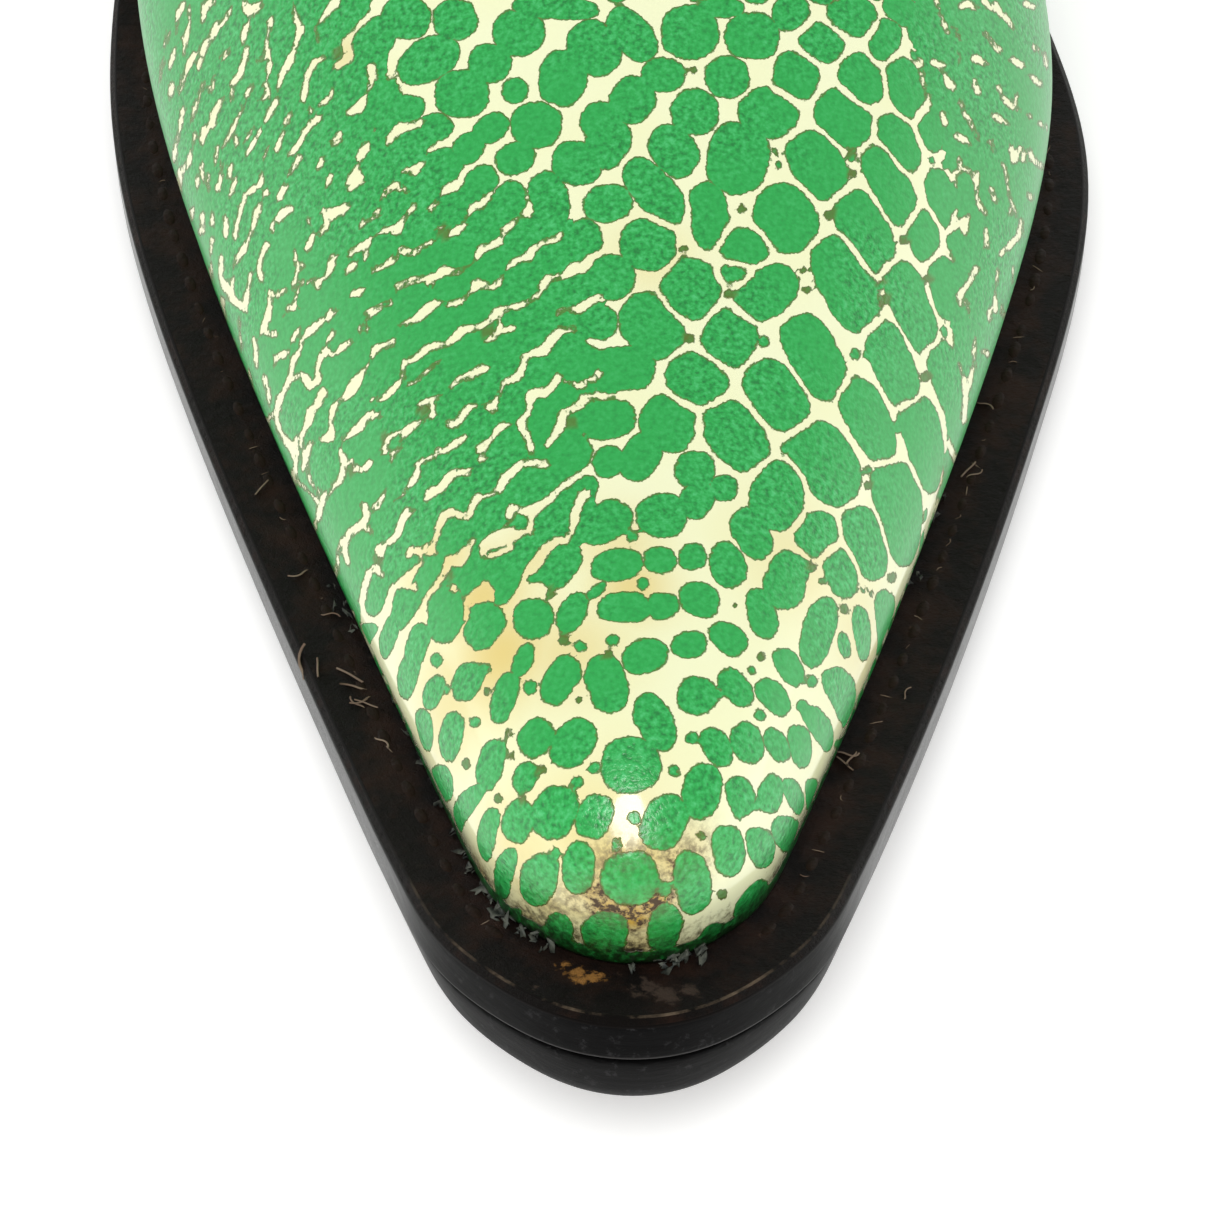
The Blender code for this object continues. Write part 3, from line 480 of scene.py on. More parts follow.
    ((942, 246, 4), (948, 252, 4), (952, 259, 3)), ((1021, 220, 3), (1020, 236, 4), (1014, 241, 4)),
    ((1029, 254, 3), (1028, 270, 3)), ((989, 320, 3), (990, 309, 3), (996, 310, 3)),
    ((1002, 306, 3), (1004, 318, 3)), ((959, 364, 3), (963, 378, 3)),
    ((974, 366, 3), (970, 380, 3), (967, 392, 3)),
]

# The rings in the photograph inside which the streaks rule, on the outer and on the inner side, and small
# green spots that lie in the cream: across, down and half their width.
STREAK_RINGS_PX = [
    [(375, -6), (375, 40), (410, 107), (432, 128), (444, 165), (478, 185), (509, 199), (549, 197), (582, 240),
     (612, 277), (598, 322), (628, 368), (609, 420), (570, 453), (605, 522), (560, 564), (503, 578),
     (484, 627), (447, 615), (404, 610), (376, 596), (347, 610), (0, 620), (0, -6)],
    [(915, -6), (915, 45), (925, 95), (940, 131), (948, 165), (952, 198), (946, 222), (943, 232), (944, 246),
     (943, 262), (945, 286), (951, 325), (952, 372), (940, 385), (948, 440), (938, 490), (925, 520),
     (922, 560), (1207, 560), (1207, -6)],
]
SPOT_CHART_PX = [
    (424, 411, 5), (394, 443, 6), (349, 470, 5), (450, 576, 4), (571, 423, 5), (340, 54, 5), (488, 330, 5),
    (378, 561, 4), (520, 522, 8), (445, 232, 4), (384, 437, 3), (734, 605, 4), (822, 582, 4), (751, 671, 5),
    (802, 706, 6), (579, 700, 5), (475, 722, 6), (509, 733, 4), (512, 756, 5), (498, 799, 5), (634, 818, 7),
    (617, 844, 6), (701, 836, 5), (722, 894, 5), (551, 594, 5), (581, 646, 6), (813, 567, 4), (844, 609, 5),
    (594, 767, 6), (674, 770, 7), (760, 715, 6), (761, 657, 5), (643, 583, 6), (516, 913, 6), (542, 770, 5),
    (487, 669, 6), (467, 764, 5), (487, 691, 5), (614, 640, 7), (539, 577, 7), (632, 537, 6), (786, 448, 6),
    (690, 338, 5), (779, 165, 5), (729, 293, 5), (807, 290, 5), (803, 270, 4), (903, 241, 5), (881, 285, 5),
    (885, 301, 5), (927, 278, 4), (764, 341, 6), (755, 340, 6), (855, 354, 6), (868, 354, 6), (925, 377, 5),
    (852, 156, 5), (853, 174, 5), (742, 208, 5), (684, 249, 5), (830, 215, 5), (776, 152, 3), (693, 71, 4),
    (664, 888, 9), (555, 852, 6), (577, 782, 7), (757, 806, 6), (551, 741, 6), (840, 744, 6), (437, 660, 7),
    (446, 690, 6), (530, 688, 8), (717, 693, 6), (812, 681, 6), (563, 641, 5), (592, 387, 6), (692, 738, 7),
    (523, 799, 4), (609, 654, 4), (868, 470, 5), (867, 486, 5), (898, 427, 7), (892, 578, 5), (862, 590, 3),
    (871, 593, 3),
]
STREAK_SPREAD_PX, INNER_SPREAD_PX = -1.0, -1.6
STREAK_POINT_PX = 5.0
SPOT_RIM_MM = 1.2
THIN_SPOT_PX, THIN_RIM_MM = 5, 0.2
PX_PER_MM = 10.5

# Where the chart holds, by height in the photograph: its left and right end. Scales in the ring keep apart.
CHART_ENDS_PX = {"down": (-6, 60, 110, 135, 200, 260, 300, 400, 450, 500, 540, 580, 1207),
                 "left": (300, 310, 420, 445, 480, 520, 545, 520, 495, 460, 435, 330, 330),
                 "right": (895, 900, 915, 915, 930, 925, 930, 935, 940, 930, 915, 1100, 1100)}
APART_RING_PX = [(755, -20), (755, 190), (640, 190), (640, 445), (755, 460), (755, 600), (1207, 600),
                 (1207, -20)]
APART_MM = 0.56
BIG_SCALE_PX = 36
SMALL_SWELL_PX, BIG_SWELL_PX = 0.6, 1.8

# The rule for all other scales, on the flat sheet: rows that climb away from the front line on both sides,
# every second row half a scale on, and both growing with the distance from a point in front of the toe.
ROW_CLIMB = math.radians(24)
SCALE_PITCH_MM = 3.0
ROW_PITCH_MM = 3.4
SCALE_HALF_LENGTH_MM = 1.66
SCALE_HALF_WIDTH_MM = 1.5
GROWTH_FROM_MM = 150.0
GROWTH_TRUE_AT_MM = 60.0
SHEET_REACH_MM = 420.0
ROUNDNESS, BIG_ROUNDNESS = 2.35, 2.6
SCALE_CORE = 0.1
SCALE_STRAY = 0.12
SCALE_SIZES = (0.9, 1.08)
SHEET_ANGLE = 1.4
LOOK_ALONG_MM = 3.0
OFF_SHEET_MM = 1.2
CLEAR_OF_CHART = 0.8
NEIGHBOURS = 4
SEEN_WITHIN = 0.001
FAR_MM = 4.0
SHADES = 4
ALL_CLEAR = 1.0
CORNER_REACH = 1.5
FILL_FROM_MM, FILL_GAP_MM, FILL_REACH_MM = 0.75, 0.3, 1.5

place = numbers(upper.data.vertices, "co", 3)
loop_vertex = numbers(upper.data.loops, "vertex_index", 1, np.int32)[:, 0]
loop_sheet = numbers(upper.data.uv_layers[0].data, "uv", 2)
outside_faces = [face for face in upper.data.polygons if face.material_index == OUTSIDE]
outside_loops = np.concatenate([np.array(face.loop_indices) for face in outside_faces])
sheet = np.full((len(place), 2), np.nan)
sheet[loop_vertex[outside_loops]] = loop_sheet[outside_loops]
outer = np.flatnonzero(~np.isnan(sheet[:, 0]))

# The sheet in millimetres: the toe's tip is its origin, the ridge over the foot its upward axis, and the
# inner side of the foot lies to the right.
RIDGE_AT_Y, RIDGE_BAND = -0.055, 0.002

tip = outer[place[outer, 1].argmin()]
across_foot = outer[abs(place[outer, 1] - RIDGE_AT_Y) < RIDGE_BAND]
ridge = across_foot[place[across_foot, 2].argmax()]
inner_side = across_foot[place[across_foot, 0].argmax()]
edge_ends = numbers(upper.data.edges, "vertices", 2, np.int32)
real_length = np.linalg.norm(place[edge_ends[:, 0]] - place[edge_ends[:, 1]], axis=1)
sheet_length = np.linalg.norm(sheet[edge_ends[:, 0]] - sheet[edge_ends[:, 1]], axis=1)
sheet -= sheet[tip]
upward = sheet[ridge] / np.linalg.norm(sheet[ridge])
sideways = np.array((upward[1], -upward[0]))
if sheet[inner_side] @ sideways < 0:
    sideways = -sideways
sheet_mm = np.stack((sheet @ sideways, sheet @ upward), axis=1) * 1000
sheet_mm *= np.nanmedian(real_length / sheet_length)

on_sheet = KDTree(len(outer))
in_space = KDTree(len(outer))
for vertex in outer:
    on_sheet.insert((*sheet_mm[vertex], 0.0), vertex)
    in_space.insert(place[vertex], vertex)
on_sheet.balance()
in_space.balance()


def on_upper(across_px, down_px):
    """The point of the upper that shows at a pixel of the photograph, or None."""
    hit, point, _, _ = upper.ray_cast(CAMERA_PLACE, sight_line(across_px, down_px))
    return np.array(point) if hit else None


def half_axis(across_px, down_px, reach_px, lean):
    """Half of one axis of a charted scale, as a vector on the upper."""
    step = (reach_px * math.cos(lean), -reach_px * math.sin(lean))
    ends = [on_upper(across_px + sign * step[0], down_px + sign * step[1]) for sign in (1, -1)]
    middle = on_upper(across_px, down_px)
    if ends[0] is not None and ends[1] is not None:
        return (ends[0] - ends[1]) / 2
    return ends[0] - middle if ends[0] is not None else middle - ends[1]


def within(across, down, corners):
    """Which places in the photograph lie inside a ring of corners."""
    inside = np.zeros(len(across), bool)
    for (from_x, from_y), (to_x, to_y) in zip(corners, corners[1:] + corners[:1]):
        if from_y != to_y:
            crossing = from_x + (down - from_y) * (to_x - from_x) / (to_y - from_y)
            inside ^= ((from_y > down) != (to_y > down)) & (across < crossing)
    return inside


# Each scale is its middle, its two half axes, and how square its outline is: 2 for an oval, more for square.
# On the inner side they keep apart, with a cream gap from one to the next.
scales, apart = [], set()
chart_across, chart_down = np.array(SCALE_CHART_PX, float)[:, :2].T
keeps_apart = within(chart_across, chart_down, APART_RING_PX)
for (across_px, down_px, half_length, half_width, lean), alone in zip(SCALE_CHART_PX, keeps_apart):
    middle = on_upper(across_px, down_px)
    if middle is not None:
        lean = math.radians(lean)
        big = half_length > BIG_SCALE_PX
        swell = BIG_SWELL_PX if big or alone else SMALL_SWELL_PX
        if alone:
            apart.add(len(scales))
        scales.append((middle, half_axis(across_px, down_px, half_length + swell, lean),
                       half_axis(across_px, down_px, half_width + swell, lean + math.pi / 2),
                       BIG_ROUNDNESS if big else ROUNDNESS))


def scale_edge_mm(points, scale):
    """How far points lie outside a scale's edge, in millimetres, negative inside it."""
    middle, length, width, roundness = scale
    away = points - middle
    square = np.array(((length @ length, length @ width), (length @ width, width @ width)))
    shares = np.linalg.solve(square, np.stack((away @ length, away @ width)))
    reach = (abs(shares) ** roundness).sum(0) ** (1 / roundness)
    distance = np.linalg.norm(shares.T @ np.stack((length, width)), axis=1)
    radius = np.where(reach > SCALE_CORE, distance / np.maximum(reach, SCALE_CORE), np.linalg.norm(width))
    return (reach - 1) * radius * 1000


def shows(point, across_px, down_px):
    """Whether the upper's point at a pixel of the photograph is the one that shows there."""
    seen = on_upper(across_px, down_px)
    return seen is not None and np.linalg.norm(seen - point) < SEEN_WITHIN


def charted(point):
    """Whether a point of the upper shows in the part of the photograph that the chart covers."""
    (across_px,), (down_px,) = photo_place(point[None])
    heights = CHART_ENDS_PX["down"]
    if not heights[0] < down_px < heights[-1]:
        return False
    left, right = (np.interp(down_px, heights, CHART_ENDS_PX[end]) for end in ("left", "right"))
    return left < across_px < right and shows(point, across_px, down_px)


def laid_out(flat, heading):
    """One millimetre of the sheet along a heading, as a vector on the upper."""
    _, ahead, _ = on_sheet.find((*(flat + heading), 0.0))
    _, astern, _ = on_sheet.find((*(flat - heading), 0.0))
    run_mm = max(np.linalg.norm(sheet_mm[ahead] - sheet_mm[astern]), LOOK_ALONG_MM / 2)
    return (place[ahead] - place[astern]) / run_mm


true_radius = GROWTH_FROM_MM + GROWTH_TRUE_AT_MM
chart_middles = np.array([scale[0] for scale in scales])
rows = range(-int(SHEET_REACH_MM / ROW_PITCH_MM), int(SHEET_REACH_MM / ROW_PITCH_MM))
steps = range(-int(SHEET_REACH_MM / SCALE_PITCH_MM), int(SHEET_REACH_MM / SCALE_PITCH_MM))
for row in rows:
    for step in steps:
        along = (step + 0.5 * (row % 2) + random.uniform(-SCALE_STRAY, SCALE_STRAY)) * SCALE_PITCH_MM
        size = random.uniform(*SCALE_SIZES)
        lifted = row * ROW_PITCH_MM
        angle = (along * math.cos(ROW_CLIMB) - lifted * math.sin(ROW_CLIMB)) / true_radius
        growth = math.exp((along * math.sin(ROW_CLIMB) + lifted * math.cos(ROW_CLIMB)) / true_radius)
        if not -SHEET_ANGLE < angle < 0:
            continue
        for side in (1, -1):
            flat = np.array((side * math.sin(angle), math.cos(angle))) * true_radius * growth
            flat[1] -= GROWTH_FROM_MM
            heading = np.array((side * math.cos(ROW_CLIMB + angle), math.sin(ROW_CLIMB + angle)))
            heading *= LOOK_ALONG_MM
            _, vertex, off = on_sheet.find((*flat, 0.0))
            if off > OFF_SHEET_MM or charted(place[vertex]):
                continue
            length = laid_out(flat, heading) * SCALE_HALF_LENGTH_MM * size * growth
            width = laid_out(flat, np.array((-heading[1], heading[0]))) * SCALE_HALF_WIDTH_MM * size * growth
            nearest = np.linalg.norm(chart_middles - place[vertex], axis=1).argsort()[:NEIGHBOURS]
            room = min(scale_edge_mm(place[vertex][None], scales[near])[0] for near in nearest)
            if room > CLEAR_OF_CHART * SCALE_HALF_WIDTH_MM * growth:
                scales.append((place[vertex], length, width, ROUNDNESS))

# Scales that touch go to different shades, so that each shade holds the smooth distance to its own scales and
# the cream gap between two neighbours stays sharp on a mesh that is coarser than the gap.
middles = np.array([scale[0] for scale in scales])
reaches = np.array([max(np.linalg.norm(scale[1]), np.linalg.norm(scale[2])) for scale in scales])
shade_of = np.full(len(scales), -1)
edge_mm = np.full((len(place), SHADES), FAR_MM, np.float32)


def near_vertices(middle, reach):
    """The vertices of the upper's outside that lie within a reach of a point."""
    return np.array([vertex for _, vertex, _ in in_space.find_range(middle, reach)])


for number, scale in enumerate(scales):
    gap = np.linalg.norm(middles[:number] - scale[0], axis=1) - reaches[:number] - reaches[number]
    free = [gap[shade_of[:number] == shade].min(initial=ALL_CLEAR) for shade in range(SHADES)]
    shade_of[number] = int(np.argmax(free))
    near = near_vertices(scale[0], reaches[number] * CORNER_REACH + FAR_MM / 1000)
    if len(near):
        off_mm = scale_edge_mm(place[near], scale)
        if number in apart:
            for other in apart - {number}:
                other_mm = scale_edge_mm(place[near], scales[other])
                off_mm = np.maximum(off_mm, (APART_MM + off_mm - other_mm) / 2)
        column = edge_mm[:, shade_of[number]]
        column[near] = np.minimum(column[near], off_mm)


def pointed(last, before):
    """The point in which a streak runs out beyond its last charted place."""
    run = np.array(last[:2], float) - before[:2]
    run *= STREAK_POINT_PX / np.linalg.norm(run)
    return last[0] + run[0], last[1] + run[1], 0.0


def streak_mm(across, down):
    """How far places in the photograph lie outside the nearest charted streak, in mm on the leather."""
    nearest = np.full(len(across), FAR_MM * PX_PER_MM)
    spread = np.where(across > MIDDLE_PX, INNER_SPREAD_PX, STREAK_SPREAD_PX)
    for streak in STREAK_CHART_PX:
        points = [pointed(streak[0], streak[1]), *streak, pointed(streak[-1], streak[-2])]
        for start, end in zip(points[:-1], points[1:]):
            run = np.array(end[:2], float) - start[:2]
            share = ((across - start[0]) * run[0] + (down - start[1]) * run[1]) / (run @ run)
            share = np.clip(share, 0, 1)
            off = np.hypot(across - start[0] - share * run[0], down - start[1] - share * run[1])
            nearest = np.minimum(nearest, off - spread - start[2] - share * (end[2] - start[2]))
    return nearest / PX_PER_MM


across, down = photo_place(place)
streaked = outer[np.any([within(across[outer], down[outer], ring) for ring in STREAK_RINGS_PX], axis=0)]
streaked = np.array([vertex for vertex in streaked if shows(place[vertex], across[vertex], down[vertex])])

# What the rule leaves open, at the back seam and beside the charts, is filled with round scales.
open_places = [vertex for vertex in set(outer) - set(streaked)
               if edge_mm[vertex].min() > FILL_FROM_MM and not charted(place[vertex])]
while open_places:
    vertex = max(open_places, key=lambda vertex: edge_mm[vertex].min())
    fill_mm = min(edge_mm[vertex].min() - FILL_GAP_MM, FILL_REACH_MM)
    near = near_vertices(place[vertex], (fill_mm + FAR_MM) / 1000)
    off_mm = np.linalg.norm(place[near] - place[vertex], axis=1) * 1000 - fill_mm
    edge_mm[near] = np.minimum(edge_mm[near], off_mm[:, None])
    open_places = [vertex for vertex in open_places if edge_mm[vertex].min() > FILL_FROM_MM]

# Then come the streaks, and over them the spots, the smallest of which are thin enough for the olive to show.
edge_mm[streaked] = -streak_mm(across[streaked], down[streaked])[:, None]
thin = np.zeros(len(place))
for across_px, down_px, reach_px in SPOT_CHART_PX:
    off_mm = (np.hypot(across - across_px, down - down_px) - reach_px) / PX_PER_MM
    near = outer[off_mm[outer] < SPOT_RIM_MM]
    near = [vertex for vertex in near if shows(place[vertex], across[vertex], down[vertex])]
    edge_mm[near] = np.minimum(edge_mm[near], off_mm[near][:, None])
    if reach_px <= THIN_SPOT_PX:
        thin[near] = off_mm[near] < THIN_RIM_MM

# The lowest edge, down at the welt, is green all round, wider at the toe, and darkened there by painted shade
# and soil.
FEATHER_TOP = 0.07
FEATHER_GREEN_MM, TOE_GREEN_MM = 0.9, 1.9
FEATHER_SHADE_AND_SOIL_MM, TOE_SHADE_AND_SOIL_MM = 2.0, 7.5
SIDE_ENDS_Y, TOE_STARTS_Y = -0.105, -0.128

feather_shade_and_soil = np.zeros(len(place))
for vertex in outer[place[outer, 2] < FEATHER_TOP]:
    _, foot, _, _ = frame["nodes"]["welt"].closest_point_on_mesh(place[vertex])
    off_mm = np.linalg.norm(place[vertex] - foot) * 1000
    toe_share = np.interp(place[vertex][1], (TOE_STARTS_Y, SIDE_ENDS_Y), (1, 0))
    green_mm = FEATHER_GREEN_MM + toe_share * (TOE_GREEN_MM - FEATHER_GREEN_MM)
    shade_and_soil_mm = FEATHER_SHADE_AND_SOIL_MM + toe_share * (TOE_SHADE_AND_SOIL_MM - FEATHER_SHADE_AND_SOIL_MM)
    edge_mm[vertex] = np.minimum(edge_mm[vertex], off_mm - green_mm)
    # Painted shade and soil: strongest where the leather meets the welt, fading over a few millimetres, further
    # at the toe.
    feather_shade_and_soil[vertex] = max(0.0, 1 - off_mm / shade_and_soil_mm)
scale_edges = upper.data.attributes.new("scale_edges", "FLOAT_COLOR", "POINT")
scale_edges.data.foreach_set("color", edge_mm.ravel())

# Wear on the leather, charted in the photograph: across, down and reach in pixels, and how strong it is.
DIRT_PX = [
    (608, 910, 18, 1.8), (632, 916, 18, 2.0), (655, 905, 18, 1.9), (594, 893, 16, 1.4), (575, 905, 20, 0.7),
    (676, 862, 20, 1.0), (694, 854, 22, 0.7), (620, 862, 20, 0.9), (650, 858, 20, 0.9), (600, 862, 16, 0.6),
    (552, 908, 26, 0.7), (640, 946, 26, 0.9), (535, 928, 20, 0.9), (482, 872, 18, 0.9), (455, 835, 15, 0.8),
    (800, 862, 22, 0.8), (820, 805, 16, 0.7), (848, 742, 18, 1.0), (920, 582, 18, 1.1), (942, 482, 18, 0.9),
    (730, 935, 20, 0.7), (395, 700, 14, 0.8), (360, 625, 12, 0.8), (690, 950, 16, 0.6),
]
YELLOW_PX = [
    (480, 600, 46, 0.9), (500, 655, 55, 0.9), (440, 560, 40, 0.7), (620, 545, 40, 0.5), (632, 588, 34, 0.8),
    (565, 655, 50, 0.6), (590, 850, 70, 0.6), (520, 850, 60, 0.6), (450, 700, 60, 0.6), (530, 560, 40, 0.5),
    (650, 260, 40, 0.35), (800, 560, 60, 0.4), (860, 640, 60, 0.4), (345, 55, 24, 0.5),
]
WEAR_STRETCH = 1.1


def wear_amount(chart):
    """How strong a charted stain is at each vertex of the upper."""
    amount = np.zeros(len(place))
    for across_px, down_px, reach_px, strength in chart:
        middle = on_upper(across_px, down_px)
        if middle is not None:
            reach = WEAR_STRETCH * reach_px / PX_PER_MM / 1000
            near = np.linalg.norm(place - middle, axis=1) / reach
            amount = np.maximum(amount, strength * np.exp(-near ** 2))
    return amount


# Its channels: dirt, yellowed cream, the painted shade and soil at the feather edge, and thin spots.
wear_and_shade_places = np.stack((wear_amount(DIRT_PX), wear_amount(YELLOW_PX), feather_shade_and_soil, thin), axis=1)
wear_and_shade = upper.data.attributes.new("wear_and_shade", "FLOAT_COLOR", "POINT")
wear_and_shade.data.foreach_set("color", wear_and_shade_places.astype(np.float32).ravel())


def linear(colour):
    """An sRGB hex colour as linear red, green, blue and alpha."""
    parts = [int(colour[start:start + 2], 16) / 255 for start in (1, 3, 5)]
    return [part / 12.92 if part <= 0.04045 else ((part + 0.055) / 1.055) ** 2.4 for part in parts] + [1.0]


def feed(node, inputs):
    """Gives each named socket of a node its value, or a link from a socket or from a node's main output."""
    for name, value in inputs.items():
        if isinstance(value, bpy.types.Node):
            value = next(socket for socket in value.outputs if socket.enabled)
        if isinstance(value, bpy.types.NodeSocket):
            node.id_data.links.new(value, node.inputs[name])
        else:
            node.inputs[name].default_value = value


def add(tree, kind, inputs, **settings):
    """Adds a shader node of a kind with its settings, and feeds its inputs."""
    made = tree.nodes.new("ShaderNode" + kind)
    for name, value in settings.items():
        setattr(made, name, value)
    feed(made, inputs)
    return made


def started(name):
    """A new material, its node tree, its shader, and the places on the piece that its patterns follow."""
    made = bpy.data.materials.new(name)
    made.use_nodes = True
    tree = made.node_tree
    return made, tree, tree.nodes["Principled BSDF"], add(tree, "TexCoord", {}).outputs["Object"]


def per_mm(size_mm):
    """A texture's scale for a pattern of that size on Object coordinates in metres."""
    return 1000 / size_mm


# Printed calf: a cream ground under a thin film of green scales. The film has a pebble that the cream lacks,
# an olive line where its edge is thin, and a clear gloss over both, paler where it is seen at a slant.
CREAM, CREAM_LIGHT, CREAM_YELLOW = "#F5F6C0", "#F8FCD8", "#E6CD78"
SCALE_GREEN, SCALE_DARK, SCALE_LIGHT = "#20AA4B", "#0D8037", "#49C572"
EDGE_OLIVE, DIRT_GOLD, DIRT_BROWN = "#5B6A1C", "#C4A24E", "#46300C"
# The colours of the painted shade and soil and of the painted shadow along the feather edge at the welt.
FEATHER_SOIL_AND_SHADE, FEATHER_SHADOW = "#4A4020", "#8A8A6A"
PEBBLE_MM = 0.45
SMOOTH_PATCH_MM = 14.0
CREAM_CLOUD_MM = 9.0
SOIL_MM = 0.7
EDGE_WOBBLE_MM, WOBBLE_DEEP_MM = 1.6, 0.7
EDGE_TEETH_MM, TEETH_DEEP_MM = 0.35, 0.3
FILM_SOFT_MM = 0.05
LINE_INSIDE_MM, LINE_HALF_MM, LINE_CORE_MM = 0.05, 0.13, 0.03
THIN_SHOWS_OLIVE = 0.7
FEATHER_SHADOW_DEPTH = 0.6
SOIL_CONTRAST, SOIL_HELD_BACK = 1.2, 0.95
SOIL_DULLS = 0.5
FILM_STEP = 0.6

leather, tree, shader, spot = started("printed_calf")
edges = add(tree, "Attribute", {}, attribute_name="scale_edges").outputs
shades = add(tree, "SeparateColor", {"Color": edges["Color"]}).outputs
off_edge = shades["Red"]
for shade in (shades["Green"], shades["Blue"], edges["Alpha"]):
    off_edge = add(tree, "Math", {0: off_edge, 1: shade}, operation="MINIMUM")
for size_mm, deep_mm, detail in ((EDGE_WOBBLE_MM, WOBBLE_DEEP_MM, 3.0), (EDGE_TEETH_MM, TEETH_DEEP_MM, 1.0)):
    uneven = add(tree, "TexNoise", {"Vector": spot, "Scale": per_mm(size_mm), "Detail": detail})
    uneven = add(tree, "Math", {0: uneven, 1: deep_mm, 2: -deep_mm / 2}, operation="MULTIPLY_ADD")
    off_edge = add(tree, "Math", {0: off_edge, 1: uneven}, operation="ADD")
film = add(tree, "MapRange", {"Value": off_edge, "From Min": FILM_SOFT_MM, "From Max": -FILM_SOFT_MM},
           interpolation_type="SMOOTHSTEP")
off_line = add(tree, "Math", {0: off_edge, 1: LINE_INSIDE_MM}, operation="ADD")
off_line = add(tree, "Math", {0: off_line}, operation="ABSOLUTE")
line = add(tree, "MapRange", {"Value": off_line, "From Min": LINE_HALF_MM, "From Max": LINE_CORE_MM,
                              "To Max": 0.7}, interpolation_type="SMOOTHSTEP")

pebble = add(tree, "TexNoise", {"Vector": spot, "Scale": per_mm(PEBBLE_MM), "Detail": 2.0})
patchy = add(tree, "TexNoise", {"Vector": spot, "Scale": per_mm(SMOOTH_PATCH_MM), "Detail": 1.0})
patchy = add(tree, "MapRange", {"Value": patchy, "From Min": 0.4, "From Max": 0.58, "To Min": 0.35})
pebble = add(tree, "Mix", {"Factor": patchy, "A": 0.5, "B": pebble})
greens = add(tree, "ValToRGB", {"Fac": pebble})
greens.color_ramp.elements[0].position = 0.3
greens.color_ramp.elements[0].color = linear(SCALE_DARK)
greens.color_ramp.elements[1].position = 0.75
greens.color_ramp.elements[1].color = linear(SCALE_LIGHT)
greens.color_ramp.elements.new(0.5).color = linear(SCALE_GREEN)
cloud = add(tree, "TexNoise", {"Vector": spot, "Scale": per_mm(CREAM_CLOUD_MM), "Detail": 4.0})
cream = add(tree, "Mix", {"Factor": cloud, "A": linear(CREAM), "B": linear(CREAM_LIGHT)}, data_type="RGBA")

# Its wear and painted shade: dirt in red, yellowed cream in green, painted shade and soil at the feather edge
# in blue, thin spots in alpha.
wear_and_shade = add(tree, "Attribute", {}, attribute_name="wear_and_shade").outputs
worn_and_shaded = add(tree, "SeparateColor", {"Color": wear_and_shade["Color"]}).outputs
thinned = add(tree, "Math", {0: wear_and_shade["Alpha"], 1: THIN_SHOWS_OLIVE}, operation="MULTIPLY")
greens = add(tree, "Mix", {"Factor": thinned, "A": greens, "B": linear(EDGE_OLIVE)}, data_type="RGBA")
cream = add(tree, "Mix", {"Factor": worn_and_shaded["Green"], "A": cream, "B": linear(CREAM_YELLOW)}, data_type="RGBA")
colour = add(tree, "Mix", {"Factor": film, "A": cream, "B": greens}, data_type="RGBA")
colour = add(tree, "Mix", {"Factor": line, "A": colour, "B": linear(EDGE_OLIVE)}, data_type="RGBA")
bare = add(tree, "MapRange", {"Value": film, "To Min": 0.6, "To Max": 0.05})
stained = add(tree, "Math", {0: worn_and_shaded["Red"], 1: bare}, operation="MULTIPLY", use_clamp=True)
colour = add(tree, "Mix", {"Factor": stained, "A": colour, "B": linear(DIRT_GOLD)}, data_type="RGBA")
soil = add(tree, "TexNoise", {"Vector": spot, "Scale": per_mm(SOIL_MM), "Detail": 5.0, "Roughness": 0.7})
specked = add(tree, "MapRange", {"Value": soil, "From Min": 0.43, "From Max": 0.6})
specked = add(tree, "Math", {0: specked, 1: worn_and_shaded["Red"]}, operation="MULTIPLY", use_clamp=True)
bare = add(tree, "MapRange", {"Value": film, "To Min": 1.0, "To Max": 0.4})
soiled = add(tree, "Math", {0: specked, 1: bare}, operation="MULTIPLY")
colour = add(tree, "Mix", {"Factor": soiled, "A": colour, "B": linear(DIRT_BROWN)}, data_type="RGBA")
# Painted shadow: a smooth darkening of the leather towards the welt.
feather_shadowed = add(tree, "Math", {0: worn_and_shaded["Blue"], 1: FEATHER_SHADOW_DEPTH}, operation="MULTIPLY")
colour = add(tree, "Mix", {"Factor": feather_shadowed, "A": colour, "B": linear(FEATHER_SHADOW)}, data_type="RGBA",
             blend_type="MULTIPLY")
# Painted shade and soil: a ragged dark brown band along the welt, widest at the toe.
ragged_soil_and_shade = add(tree, "Math", {0: soil, 1: SOIL_CONTRAST, 2: -SOIL_HELD_BACK}, operation="MULTIPLY_ADD")
ragged_soil_and_shade = add(tree, "Math", {0: worn_and_shaded["Blue"], 1: ragged_soil_and_shade}, operation="ADD")
ragged_soil_and_shade = add(tree, "MapRange", {"Value": ragged_soil_and_shade, "From Min": 0.05, "From Max": 0.6, "To Max": 0.95},
             interpolation_type="SMOOTHSTEP")
colour = add(tree, "Mix", {"Factor": ragged_soil_and_shade, "A": colour, "B": linear(FEATHER_SOIL_AND_SHADE)}, data_type="RGBA",
             blend_type="MULTIPLY")
rough = add(tree, "MapRange", {"Value": film, "To Min": 0.1, "To Max": 0.3})
rough = add(tree, "Math", {0: soiled, 1: SOIL_DULLS, 2: rough}, operation="MULTIPLY_ADD")
grain = add(tree, "Math", {0: pebble, 1: film}, operation="MULTIPLY")
grain = add(tree, "Math", {0: film, 1: FILM_STEP, 2: grain}, operation="MULTIPLY_ADD")
bump = add(tree, "Bump", {"Height": grain, "Strength": 0.9, "Distance": 0.0001})
feed(shader, {"Base Color": colour, "Roughness": rough, "Normal": bump, "Specular IOR Level": 0.75})
upper.data.materials.append(leather)

# The lining is smooth pigskin, glued to the back of the calf: warm tan, matt, with fine pores.
LINING_TAN, LINING_DARK = "#B99A72", "#94754F"
PORE_MM = 0.9

